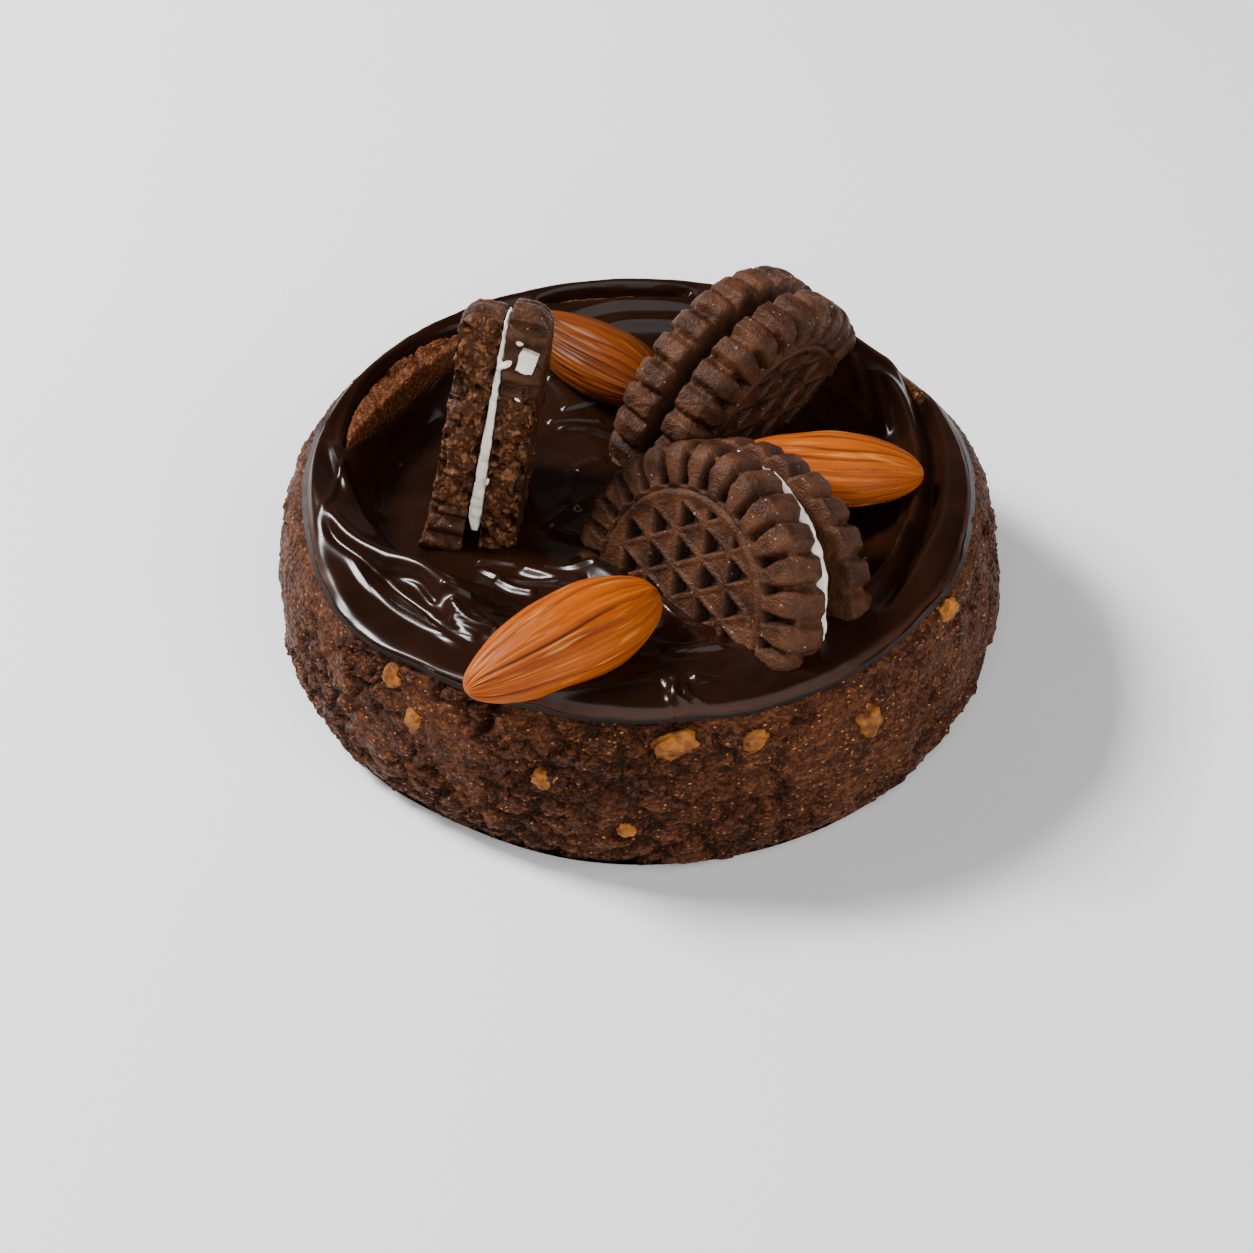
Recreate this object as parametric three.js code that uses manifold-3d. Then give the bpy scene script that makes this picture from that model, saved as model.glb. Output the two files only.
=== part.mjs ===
// A thick round chocolate cookie with a hollow of glossy ganache in its top, three half sandwich
// biscuits standing in the ganache and three whole almonds lying on it.
// Millimetres, +Z up, origin at the centre of the flat underside.
import * as THREE from "three";
import { mergeVertices } from "three/addons/utils/BufferGeometryUtils.js";
import Module from "manifold-3d";

const wasm = await Module();
wasm.setup();

// Cookie base: outlines as [radius, height] points
const BULGE_RADIUS = 46;
const FLANK = [[43.4, 0], [45.5, 4.5], [BULGE_RADIUS, 11], [45.1, 18.5], [43.5, 22.9]];
const SHOULDER = [[43.5, 22.9], [42.2, 24.4], [40.4, 25.3], [38.6, 25.5]];
const HOLLOW = [[38.6, 25.5], [35.6, 24.2], [31.5, 19.8], [26, 16.6], [19, 15.6]];
const HOLLOW_FLOOR = 15.5;
const ROUND_SEGMENTS = 80;
const FLANK_STEPS = 9;
const SHOULDER_STEPS = 3;
const HOLLOW_STEPS = 5;
const SIDE_START = 42.5;
const CRAG_DEPTH = 0.9;
const CRAG_SIZE = 6;
const CRAG_FADE = [22, 23.5];
const CRAG_SLANT = { x: 0.8, y: -0.6 };
const FINE_CRAGS = { share: 0.4, perCoarse: 2.3, offset: 7 };

// Flats and swellings of the round outline: bearing and half width in degrees, depth in mm
const OUTLINE_BUMPS = [
  { bearing: 40, halfWidth: 18, depth: -1.1 },
  { bearing: 240, halfWidth: 15, depth: -0.8 },
  { bearing: 150, halfWidth: 20, depth: 0.5 },
];

// Stretches of the rim that lie lower: bearing and half width in degrees, share of the height that is lost
const RIM_DIPS = [
  { bearing: 222, halfWidth: 26, share: 0.7 },
  { bearing: 287, halfWidth: 28, share: 0.5 },
];

// Height above which the rim sinks, and the radii between which the ganache sinks with it
const SINK_START = 22.9;
const SINK_RADII = [33, 38];

// Bare crescent of cookie that the ganache leaves open: bearings of its tips, radii of its edges
const BARE = { from: 120, to: 173, tip: 37.2, inner: 33.2, outer: 38.9, rise: 0.9, fade: 22, halfWidth: 1.5 };

// Nut pieces baked into the side: bearing, height, width along the side, height, depth of the piece
const NUT_PIECES = [
  { bearing: 229, height: 20.4, wide: 3.0, tall: 3.0, deep: 2.0 },
  { bearing: 234, height: 16.4, wide: 2.4, tall: 3.2, deep: 2.0 },
  { bearing: 256, height: 14.6, wide: 3.0, tall: 2.4, deep: 1.8 },
  { bearing: 275, height: 20.2, wide: 6.6, tall: 4.0, deep: 2.2 },
  { bearing: 287, height: 19.7, wide: 4.4, tall: 3.0, deep: 2.0 },
  { bearing: 306, height: 16.9, wide: 3.6, tall: 5.0, deep: 2.4 },
  { bearing: 327, height: 22.4, wide: 3.0, tall: 3.2, deep: 2.0 },
  { bearing: 268, height: 8.5, wide: 2.0, tall: 2.0, deep: 1.6 },
];

// Ganache
const WELL_LEVEL = 19.8;
const RING_LEVEL = 26.3;
const WELL_EDGE = 26;
const RING_RADIUS = 38.5;
const LIP = [[43.1, 23.8], [43.4, 24.4], [42.9, 25.2]];
const LIP_DROP = 0.7;
const TOP_OUTER = 42.2;
const TOP_RING_STEP = 1.4;
const TOP_RINGS = 14;
const TOP_CENTRE_RADII = [20.5, 15.5, 9];

// Mounds of ganache inside the ring, banked up in front of the biscuits and round the back almond
const MOUNDS = [
  { x: -2, y: -26, halfX: 24, halfY: 14, height: 3 },
  { x: -7, y: 26, halfX: 13, halfY: 7, height: 2.6 },
];

// Folds that the spreading knife left: nodes of bearing, radius and height
const FOLDS = [
  { halfWidth: 2.2, nodes: [[15, 40.6, 0.2], [60, 40.8, 2], [130, 40.8, 2], [180, 40.6, 1.3]] },
  { halfWidth: 2.2, nodes: [[180, 40.6, 1.3], [205, 36, 2.3], [232, 30, 1.8], [246, 27.5, 0]] },
  { halfWidth: 1.5, nodes: [[203, 37.3, 0], [222, 38.8, 0.9], [243, 39.6, 0]] },
  { halfWidth: 1.1, nodes: [[-54, 39.8, 0], [-25, 37.7, -0.8], [6, 36.9, -0.8], [42, 38, 0]] },
  { halfWidth: 1.4, nodes: [[-48, 34.8, 0], [-25, 35, 0.8], [10, 34.8, 0.9], [40, 36, 0]] },
  { halfWidth: 1.2, nodes: [[200, 26.5, 0], [220, 22, 0.8], [244, 17.6, 0]] },
];

// Cuts reach this far past the piece they cut
const CUT_REACH = 60;

// Half sandwich biscuits; a filling starts at creamFrom along the break
const WAFER_RADIUS = 18.6;
const FLUTES = 28;
const FLUTE_DEPTH = 0.75;
const WAFER_SHOULDER = 2.4;
const WAFER_BEND = { start: 0.5, middle: 0.84, inward: 0.35 };
const FLUTE_END = 14;
const FACE_RING_INNER = 13;
const FACE_RECESS = 0.5;
const CREAM_SEGMENTS = 30;
const SOCKET_SEGMENTS = 18;
const BISCUITS = [
  {
    name: "front_biscuit",
    at: [8.64, -19.65, 21.6],
    yaw: -50,
    lean: -24,
    spin: 0,
    sink: 3.6,
    cream: 1.5,
    creamRadius: 17.8,
    creamFrom: -CUT_REACH,
    near: { thick: 5.6, splay: 0, shift: 0, gap: 0 },
    far: { thick: 5.4, splay: 5, shift: 0, gap: 1.6 },
  },
  {
    name: "back_biscuit",
    at: [12.7, 18.2, 21.7],
    yaw: 46.6,
    lean: 9,
    spin: 0,
    sink: 3.5,
    cream: 1.6,
    creamRadius: 12.5,
    creamFrom: -CUT_REACH,
    near: { thick: 5.4, splay: 0, shift: 0, gap: 0 },
    far: { thick: 5.4, splay: 0, shift: 0, gap: 0.2 },
  },
  {
    name: "left_biscuit",
    at: [-18.26, -7.51, 33.97],
    yaw: -95.63,
    lean: -8.27,
    spin: 96.76,
    sink: 0,
    cream: 0.6,
    creamRadius: 17.4,
    creamFrom: -11.5,
    near: { thick: 5, splay: 2.5, shift: -1, gap: 0.6 },
    far: { thick: 4.8, splay: 0, shift: 0, gap: 0 },
  },
];

// Almonds: centre, heading of the pointed end, pitch of that end upwards, and size
const ALMONDS = [
  { name: "front_almond", at: [-8.7, -34.3, 27.6], yaw: -144.6, pitch: -3, size: [26.5, 12.6, 10] },
  { name: "back_almond", at: [-5.9, 25.2, 25], yaw: 139.7, pitch: 4, size: [24.5, 11.4, 8.6] },
  { name: "right_almond", at: [22.9, -0.7, 26.2], yaw: 173, pitch: 0, size: [25, 10.8, 8.2] },
];
const ALMOND_RINGS = 10;
const ALMOND_SIDES = 14;
const ALMOND_WIDEST = 1.28;
const ALMOND_FULLNESS = 0.54;

// Clearances between touching pieces
const GAP = 0.3;
const GANACHE_GAP = 0.35;

// Points of a surface closer than this are one point
const MERGE_DISTANCE = 1e-4;

const MATERIALS = {
  cookie: { color: 0x5a3825, roughness: 0.85, metalness: 0 },
  ganache: { color: 0x2c1409, roughness: 0.2, metalness: 0 },
  wafer: { color: 0x3e2720, roughness: 0.7, metalness: 0 },
  cream: { color: 0xeee6da, roughness: 0.6, metalness: 0 },
  almond: { color: 0xa85a20, roughness: 0.55, metalness: 0 },
};

const radians = THREE.MathUtils.degToRad;
const { lerp, smoothstep } = THREE.MathUtils;

function material(name) {
  return new THREE.MeshStandardMaterial(MATERIALS[name]);
}

// A mesh with a closed surface as a solid: shared points merged, collapsed triangles dropped
function solidFrom(geometry) {
  const bare = geometry.clone();
  bare.deleteAttribute("normal");
  bare.deleteAttribute("uv");
  const merged = mergeVertices(bare, MERGE_DISTANCE);
  const corners = Array.from(merged.index.array);
  const kept = [];
  for (let i = 0; i < corners.length; i += 3) {
    const [a, b, c] = corners.slice(i, i + 3);
    if (a !== b && b !== c && c !== a) {
      kept.push(a, b, c);
    }
  }
  return new wasm.Manifold(new wasm.Mesh({
    numProp: 3,
    vertProperties: new Float32Array(merged.getAttribute("position").array),
    triVerts: new Uint32Array(kept),
  }));
}

function geometryFrom(solid) {
  const mesh = solid.getMesh();
  const geometry = new THREE.BufferGeometry();
  geometry.setAttribute("position", new THREE.BufferAttribute(mesh.vertProperties, 3));
  geometry.setIndex(new THREE.BufferAttribute(mesh.triVerts, 1));
  geometry.computeVertexNormals();
  return geometry;
}

function curvePoints(outline, steps) {
  return new THREE.SplineCurve(outline.map(([r, z]) => new THREE.Vector2(r, z))).getPoints(steps);
}

// A profile of radius and height turned about +Z, each point then moved by shape(point, station)
function revolve(profile, segments, shape) {
  const geometry = new THREE.LatheGeometry(profile, segments);
  geometry.rotateX(Math.PI / 2);
  const position = geometry.getAttribute("position");
  const point = new THREE.Vector3();
  for (let index = 0; index < position.count; index += 1) {
    point.fromBufferAttribute(position, index);
    shape(point, index % profile.length);
    position.setXYZ(index, point.x, point.y, point.z);
  }
  return geometry;
}

function bearingOf(point) {
  const degrees = THREE.MathUtils.radToDeg(Math.atan2(point.y, point.x));
  return (degrees + 360) % 360;
}

function setRadius(point, radius) {
  const old = Math.hypot(point.x, point.y);
  if (old > 0) {
    point.x *= radius / old;
    point.y *= radius / old;
  }
}

function bell(distance) {
  return Math.exp(-distance * distance);
}

// Departure of the outline from a true circle
function outlineShift(bearing) {
  let shift = 0;
  for (const bump of OUTLINE_BUMPS) {
    const turn = Math.abs(bearing - bump.bearing);
    shift += bump.depth * bell(Math.min(turn, 360 - turn) / bump.halfWidth);
  }
  return shift;
}

// Height that a place of the usual rim has where the rim lies lower
function sunk(height, bearing) {
  let kept = 1;
  for (const dip of RIM_DIPS) {
    kept *= 1 - dip.share * bell((bearing - dip.bearing) / dip.halfWidth);
  }
  return Math.min(height, SINK_START + kept * (height - SINK_START));
}

// Smooth lattice noise from 0 to 1
function latticeValue(i, j) {
  const s = Math.sin(i * 127.1 + j * 311.7) * 43758.5453;
  return s - Math.floor(s);
}

function noise(x, y) {
  const i = Math.floor(x);
  const j = Math.floor(y);
  const u = smoothstep(x - i, 0, 1);
  const v = smoothstep(y - j, 0, 1);
  const low = lerp(latticeValue(i, j), latticeValue(i + 1, j), u);
  const high = lerp(latticeValue(i, j + 1), latticeValue(i + 1, j + 1), u);
  return lerp(low, high, v);
}

function crag(point) {
  const along = (point.x + CRAG_SLANT.x * point.z) / CRAG_SIZE;
  const across = (point.y + CRAG_SLANT.y * point.z) / CRAG_SIZE;
  const { share, perCoarse, offset } = FINE_CRAGS;
  const fine = noise(perCoarse * along + offset, perCoarse * across + offset);
  return CRAG_DEPTH * (lerp(noise(along, across), fine, share) - 0.5);
}

// Share of the bare crescent's rise at a place
function bareShare(radius, bearing) {
  const start = smoothstep(bearing, BARE.from, BARE.from + BARE.fade);
  const end = 1 - smoothstep(bearing, BARE.to - BARE.fade, BARE.to);
  const middle = (BARE.inner + BARE.outer) / 2;
  return start * end * bell((radius - middle) / BARE.halfWidth);
}

const flankPoints = curvePoints(FLANK, FLANK_STEPS);
const shoulderPoints = curvePoints(SHOULDER, SHOULDER_STEPS).slice(1);
const hollowPoints = curvePoints(HOLLOW, HOLLOW_STEPS).slice(1);
const coveredPoints = [...shoulderPoints, ...hollowPoints];

// Radius of the side at a height
function flankRadius(height) {
  const above = flankPoints.findIndex((p) => p.y >= height);
  const low = flankPoints[above - 1];
  const high = flankPoints[above];
  return lerp(low.x, high.x, (height - low.y) / (high.y - low.y));
}

function nutPiece(piece) {
  const bearing = radians(piece.bearing);
  const radius = flankRadius(piece.height) + outlineShift(piece.bearing);
  const geometry = new THREE.IcosahedronGeometry(0.5, 1);
  geometry.scale(piece.deep, piece.wide, piece.tall);
  geometry.rotateZ(bearing);
  geometry.translate(radius * Math.cos(bearing), radius * Math.sin(bearing), piece.height);
  return solidFrom(geometry);
}

function cookieBase() {
  const profile = [
    new THREE.Vector2(0, 0),
    ...flankPoints,
    ...coveredPoints,
    new THREE.Vector2(0, HOLLOW_FLOOR),
  ];
  const body = revolve(profile, ROUND_SEGMENTS, (point) => {
    const radius = Math.hypot(point.x, point.y);
    const bearing = bearingOf(point);
    const side = radius > SIDE_START ? 1 - smoothstep(point.z, ...CRAG_FADE) : 0;
    const shift = outlineShift(bearing) * (radius / BULGE_RADIUS);
    if (point.z > HOLLOW_FLOOR) {
      point.z = sunk(point.z, bearing) + BARE.rise * bareShare(radius, bearing);
    }
    setRadius(point, radius + shift + side * crag(point));
  });
  let solid = solidFrom(body);
  for (const piece of NUT_PIECES) {
    solid = solid.add(nutPiece(piece));
  }
  return solid;
}

// Radius and height of a fold where it crosses a bearing
function foldAt(nodes, bearing) {
  for (let i = 1; i < nodes.length; i += 1) {
    const [start, startRadius, startHeight] = nodes[i - 1];
    const [end, endRadius, endHeight] = nodes[i];
    if (bearing >= start && bearing < end) {
      const share = (bearing - start) / (end - start);
      return { radius: lerp(startRadius, endRadius, share), height: lerp(startHeight, endHeight, share) };
    }
  }
  return { radius: 0, height: 0 };
}

function ganacheHeight(radius, bearing) {
  const x = radius * Math.cos(radians(bearing));
  const y = radius * Math.sin(radians(bearing));
  let height = lerp(WELL_LEVEL, RING_LEVEL, smoothstep(radius, WELL_EDGE, RING_RADIUS));
  height -= LIP_DROP * smoothstep(radius, RING_RADIUS, TOP_OUTER);
  const room = Math.min(1, (RING_LEVEL - height) / (RING_LEVEL - WELL_LEVEL));
  for (const mound of MOUNDS) {
    const away = Math.hypot((x - mound.x) / mound.halfX, (y - mound.y) / mound.halfY);
    height += mound.height * bell(away) * room;
  }
  for (const fold of FOLDS) {
    const crossing = fold.nodes[0][0] < 0 && bearing > 180 ? bearing - 360 : bearing;
    const at = foldAt(fold.nodes, crossing);
    height += at.height * bell((radius - at.radius) / fold.halfWidth);
  }
  const outside = smoothstep(radius, ...SINK_RADII);
  return lerp(height, sunk(height, bearing), outside);
}

function polar(radius, bearing) {
  return new THREE.Vector2(radius * Math.cos(radians(bearing)), radius * Math.sin(radians(bearing)));
}

// A lens between two curves from tip to tip, each passing its own radius half way
function crescentPrism() {
  const middle = (BARE.from + BARE.to) / 2;
  const chord = BARE.tip * Math.cos(radians(BARE.to - BARE.from) / 2);
  const start = polar(BARE.tip, BARE.from);
  const end = polar(BARE.tip, BARE.to);
  const outer = polar(2 * BARE.outer - chord, middle);
  const inner = polar(2 * BARE.inner - chord, middle);
  const shape = new THREE.Shape();
  shape.moveTo(start.x, start.y);
  shape.quadraticCurveTo(outer.x, outer.y, end.x, end.y);
  shape.quadraticCurveTo(inner.x, inner.y, start.x, start.y);
  const straight = { depth: CUT_REACH, bevelEnabled: false, curveSegments: 12 };
  return solidFrom(new THREE.ExtrudeGeometry(shape, straight));
}

function ganacheBody() {
  const under = [...coveredPoints].reverse().map((p) => new THREE.Vector2(p.x, p.y + GANACHE_GAP));
  const lip = LIP.map(([r, z]) => new THREE.Vector2(r, z));
  const top = [];
  for (let i = 0; i < TOP_RINGS; i += 1) {
    top.push(new THREE.Vector2(TOP_OUTER - i * TOP_RING_STEP, RING_LEVEL));
  }
  for (const radius of TOP_CENTRE_RADII) {
    top.push(new THREE.Vector2(radius, WELL_LEVEL));
  }
  const profile = [
    new THREE.Vector2(0, HOLLOW_FLOOR + GANACHE_GAP),
    ...under,
    ...lip,
    ...top,
    new THREE.Vector2(0, WELL_LEVEL),
  ];
  const firstTop = 1 + under.length + lip.length;
  const body = revolve(profile, ROUND_SEGMENTS, (point, station) => {
    const radius = Math.hypot(point.x, point.y);
    const bearing = bearingOf(point);
    const settled = sunk(point.z - GANACHE_GAP, bearing) + GANACHE_GAP;
    point.z = station >= firstTop ? ganacheHeight(radius, bearing) : settled;
    setRadius(point, radius + outlineShift(bearing) * (radius / BULGE_RADIUS));
  });
  return solidFrom(body).subtract(crescentPrism());
}

// The part of a turned piece on the round side of its break
function halved(geometry, sink) {
  const away = new THREE.BoxGeometry(CUT_REACH, CUT_REACH, CUT_REACH);
  away.translate(0, -CUT_REACH / 2 - sink, 0);
  return solidFrom(geometry).subtract(solidFrom(away));
}

// Half a fluted wafer: inner side at z = 0, embossed face at z = thick, break along y = -sink
function waferSolid(thick, sink) {
  const profile = [
    [0, 0],
    [WAFER_RADIUS, 0],
    [WAFER_RADIUS, WAFER_BEND.start * thick],
    [WAFER_RADIUS - WAFER_BEND.inward * WAFER_SHOULDER, WAFER_BEND.middle * thick],
    [WAFER_RADIUS - WAFER_SHOULDER, thick],
    [FACE_RING_INNER, thick],
    [FACE_RING_INNER - FACE_RECESS, thick - FACE_RECESS],
    [0, thick - FACE_RECESS],
  ].map(([r, z]) => new THREE.Vector2(r, z));
  const flutePitch = Math.PI / FLUTES;
  const turned = revolve(profile, 2 * FLUTES, (point) => {
    const reach = Math.hypot(point.x, point.y);
    const valley = Math.round(Math.atan2(point.y, point.x) / flutePitch) % 2 !== 0;
    if (valley && reach > FLUTE_END) {
      setRadius(point, reach - FLUTE_DEPTH);
    }
  });
  return halved(turned, sink);
}

// Half a plain disc between two heights
function halfDisc(radius, bottom, top, segments, sink) {
  const disc = new THREE.CylinderGeometry(radius, radius, top - bottom, segments);
  disc.rotateX(Math.PI / 2);
  disc.translate(0, 0, (bottom + top) / 2);
  return halved(disc, sink);
}

// Half a disc of filling whose near side follows the near wafer, grown by spare on every side
function fillingSolid(biscuit, radius, segments, spare) {
  const { cream, sink, near, creamFrom } = biscuit;
  const disc = new THREE.CylinderGeometry(radius, radius, cream, segments);
  disc.rotateX(Math.PI / 2);
  const position = disc.getAttribute("position");
  for (let index = 0; index < position.count; index += 1) {
    const along = position.getX(index) - near.shift;
    const nearSide = cream / 2 + near.gap - along * Math.tan(radians(near.splay));
    position.setZ(index, position.getZ(index) > 0 ? nearSide + spare : -cream / 2 - spare);
  }
  const away = new THREE.BoxGeometry(CUT_REACH, CUT_REACH, CUT_REACH);
  away.translate(creamFrom - spare - CUT_REACH / 2, 0, 0);
  return halved(disc, sink + spare).subtract(solidFrom(away));
}

// Room for half a disc in the ganache
function discSocket(bottom, top, sink) {
  const radius = (WAFER_RADIUS + GAP) / Math.cos(Math.PI / SOCKET_SEGMENTS);
  return halfDisc(radius, bottom - GAP, top + GAP, SOCKET_SEGMENTS, sink + GAP);
}

// Almond along +X, its pointed end foremost
function almondGeometry([length, width, thick], clearance) {
  const profile = [];
  for (let i = 0; i <= ALMOND_RINGS; i += 1) {
    const share = i / ALMOND_RINGS;
    const swell = Math.sin(Math.PI * share ** ALMOND_WIDEST) ** ALMOND_FULLNESS;
    const radius = i === 0 || i === ALMOND_RINGS ? 0 : (width / 2 + clearance) * swell;
    profile.push(new THREE.Vector2(radius, (share - 0.5) * (length + 2 * clearance)));
  }
  const turned = revolve(profile, ALMOND_SIDES, () => {});
  turned.scale(thick / width, 1, 1);
  turned.rotateY(-Math.PI / 2);
  return turned;
}

const cookie = new THREE.Group();
const sockets = [];

function addMesh(parent, name, geometry, materialName) {
  const mesh = new THREE.Mesh(geometry, material(materialName));
  mesh.name = name;
  parent.add(mesh);
  return mesh;
}

// Keeps a solid, in its mesh's own axes, to be cut out of the cookie base and the ganache
function addSocket(mesh, solid) {
  cookie.updateMatrixWorld(true);
  const geometry = geometryFrom(solid).applyMatrix4(mesh.matrixWorld);
  sockets.push(solidFrom(geometry));
}

function addBiscuit(biscuit) {
  const turned = new THREE.Group();
  turned.position.set(...biscuit.at);
  turned.rotation.z = radians(biscuit.yaw);
  const leaning = new THREE.Group();
  leaning.rotation.x = Math.PI / 2 + radians(biscuit.lean);
  const spun = new THREE.Group();
  spun.rotation.z = radians(biscuit.spin);
  cookie.add(turned);
  turned.add(leaning);
  leaning.add(spun);
  for (const [side, facing] of [["near", 1], ["far", -1]]) {
    const wafer = biscuit[side];
    const holder = new THREE.Group();
    holder.rotation.y = facing > 0 ? 0 : Math.PI;
    spun.add(holder);
    const solid = waferSolid(wafer.thick, biscuit.sink);
    const mesh = addMesh(holder, `${biscuit.name}_${side}_wafer`, geometryFrom(solid), "wafer");
    mesh.position.set(facing * wafer.shift, 0, biscuit.cream / 2 + GAP / 2 + wafer.gap);
    mesh.rotation.y = radians(wafer.splay);
    addSocket(mesh, discSocket(0, wafer.thick, biscuit.sink));
  }
  const cream = fillingSolid(biscuit, biscuit.creamRadius, CREAM_SEGMENTS, 0);
  const creamMesh = addMesh(spun, `${biscuit.name}_cream`, geometryFrom(cream), "cream");
  addSocket(creamMesh, fillingSolid(biscuit, WAFER_RADIUS, SOCKET_SEGMENTS, GAP));
}

function addAlmond(almond) {
  const mesh = addMesh(cookie, almond.name, almondGeometry(almond.size, 0), "almond");
  mesh.position.set(...almond.at);
  mesh.rotation.set(0, -radians(almond.pitch), radians(almond.yaw), "ZYX");
  addSocket(mesh, solidFrom(almondGeometry(almond.size, GAP)));
}

// A body with the room cut out that the pieces pressed into it need
function withSockets(body) {
  return sockets.reduce((rest, socket) => rest.subtract(socket), body);
}

BISCUITS.forEach(addBiscuit);
ALMONDS.forEach(addAlmond);
addMesh(cookie, "cookie_base", geometryFrom(withSockets(cookieBase())), "cookie");
addMesh(cookie, "ganache", geometryFrom(withSockets(ganacheBody())), "ganache");

export default cookie;
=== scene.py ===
"""Dressed chocolate cookie: baked base, glossy ganache, half sandwich biscuits and almonds.

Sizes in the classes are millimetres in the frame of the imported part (+Z up, origin at the centre of the flat
underside); a finished mesh is scaled to metres.
"""

import logging
import math
from dataclasses import dataclass
from enum import Enum
from itertools import pairwise
from typing import Any

import bmesh
import bpy
import numpy as np
from bmesh.types import BMEdge, BMesh
from bpy.types import Material, Mesh, Node, NodeSocket, NodeTree
from mathutils import Matrix, Vector, noise


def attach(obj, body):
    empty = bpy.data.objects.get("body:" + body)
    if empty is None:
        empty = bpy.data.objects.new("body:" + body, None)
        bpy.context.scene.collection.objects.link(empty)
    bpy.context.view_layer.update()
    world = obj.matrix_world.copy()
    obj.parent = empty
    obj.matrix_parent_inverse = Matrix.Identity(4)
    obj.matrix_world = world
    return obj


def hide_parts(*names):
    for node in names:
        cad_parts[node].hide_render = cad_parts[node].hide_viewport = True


LOG = logging.getLogger("cookie")
MM = 0.001
MERGE_DISTANCE = 2e-3
# Sectors that a turned body is made of
SECTORS = 16
# Numbers that turn a cell's centre into a lot of its own
LOT_X, LOT_Y, LOT_Z, LOT_SCALE = 12.99, 78.23, 37.72, 43758.55
# Radius of the base where it is widest
BULGE_RADIUS = 46.0
# Heights that mark the ganache's lip and top until they get their own
LIP_MARK, TOP_MARK = 100.0, 200.0

Span = tuple[float, float]
Point = tuple[float, float, float]

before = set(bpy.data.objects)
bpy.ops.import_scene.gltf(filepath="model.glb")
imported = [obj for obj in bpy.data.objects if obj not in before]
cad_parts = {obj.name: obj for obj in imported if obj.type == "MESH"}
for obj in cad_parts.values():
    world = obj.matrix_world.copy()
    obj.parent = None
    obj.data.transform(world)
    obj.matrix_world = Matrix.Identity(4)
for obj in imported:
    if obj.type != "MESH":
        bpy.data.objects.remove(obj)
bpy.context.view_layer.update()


class Slot(Enum):
    """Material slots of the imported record."""

    COOKIE = "cookie"
    GANACHE = "ganache"
    WAFER = "wafer"
    CREAM = "cream"
    ALMOND = "almond"


class Side(Enum):
    """The two wafers of a sandwich biscuit, by the way their embossed face points."""

    NEAR = "near"
    FAR = "far"


# Small helpers: numbers, noise and meshes


def smoothstep(value: np.ndarray, low: float, high: float) -> np.ndarray:
    """Smooth rise from 0 at low to 1 at high."""
    share = np.clip((value - low) / (high - low), 0.0, 1.0)
    return share * share * (3.0 - 2.0 * share)


def bell(distance: np.ndarray) -> np.ndarray:
    """Bell curve, 1 at distance 0."""
    return np.exp(-distance * distance)


def fractal(points: np.ndarray, size: float, octaves: int, seed: float) -> np.ndarray:
    """Fractal noise, about -1 to 1.

    Args:
        points: Places in mm, one row each.
        size: Size of the coarsest lumps in mm.
        octaves: Number of ever finer layers.
        seed: Shift that makes one pattern differ from another.

    Returns:
        One value for each row.
    """
    places = (points / size + seed).tolist()
    return np.array([noise.fractal(place, 1.0, 2.0, octaves) for place in places])


def cells(points: np.ndarray, size: float, seed: float) -> tuple[np.ndarray, np.ndarray, np.ndarray]:
    """Cell noise, for grains, crevices and pits.

    Args:
        points: Places in mm, one row each.
        size: Usual distance between cell centres in mm.
        seed: Shift that makes one pattern differ from another.

    Returns:
        In cell sizes, the distance to the nearest centre and how much farther the next centre is (0 on the
        border of two cells), and a number from 0 to 1 that each cell keeps.
    """
    away, border, lot = [], [], []
    for place in (points / size + seed).tolist():
        distances, centres = noise.voronoi(place)
        away.append(distances[0])
        border.append(distances[1] - distances[0])
        centre = centres[0]
        lot.append(math.sin(centre.x * LOT_X + centre.y * LOT_Y + centre.z * LOT_Z) * LOT_SCALE)
    return np.array(away), np.array(border), np.mod(np.array(lot), 1.0)


def spline(nodes: list[tuple[float, ...]] | tuple[tuple[float, ...], ...], steps: int) -> np.ndarray:
    """Points along a smooth curve through some nodes.

    Args:
        nodes: The nodes, of any number of coordinates.
        steps: Number of equal steps along the curve.

    Returns:
        The points, one row each, the first and last nodes among them.
    """
    table = np.array(nodes, float)
    last = len(table) - 1
    rows = []
    for place in np.linspace(0, last, steps + 1):
        start = min(int(place), last - 1)
        t = place - start
        a, b, c, d = (table[min(max(start + k, 0), last)] for k in (-1, 0, 1, 2))
        lean_in, lean_out = (c - a) / 2, (d - b) / 2
        cubic = (2 * b - 2 * c + lean_in + lean_out) * t**3
        square = (-3 * b + 3 * c - 2 * lean_in - lean_out) * t**2
        rows.append(cubic + square + lean_in * t + b)
    return np.array(rows)


def bearing_of(points: np.ndarray) -> np.ndarray:
    """Bearing of each place in degrees, 0 to 360, counted from +X towards +Y."""
    return np.degrees(np.arctan2(points[:, 1], points[:, 0])) % 360


def mesh_points(mesh: Mesh) -> np.ndarray:
    """Read a mesh's points.

    Args:
        mesh: The mesh.

    Returns:
        The points, one row each.
    """
    flat = np.empty(len(mesh.vertices) * 3)
    mesh.vertices.foreach_get("co", flat)
    return flat.reshape(-1, 3)


def move_points(mesh: Mesh, points: np.ndarray) -> None:
    """Put a mesh's points at new places."""
    mesh.vertices.foreach_set("co", points.ravel())
    mesh.update()


def add_attribute(mesh: Mesh, name: str, values: np.ndarray) -> None:
    """Store a number or a vector for each point, for the material to read.

    Args:
        mesh: The mesh.
        name: The attribute's name.
        values: One number, or one row of three, for each point.
    """
    vector = values.ndim > 1
    layer = mesh.attributes.new(name, "FLOAT_VECTOR" if vector else "FLOAT", "POINT")
    layer.data.foreach_set("vector" if vector else "value", values.ravel())


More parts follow.
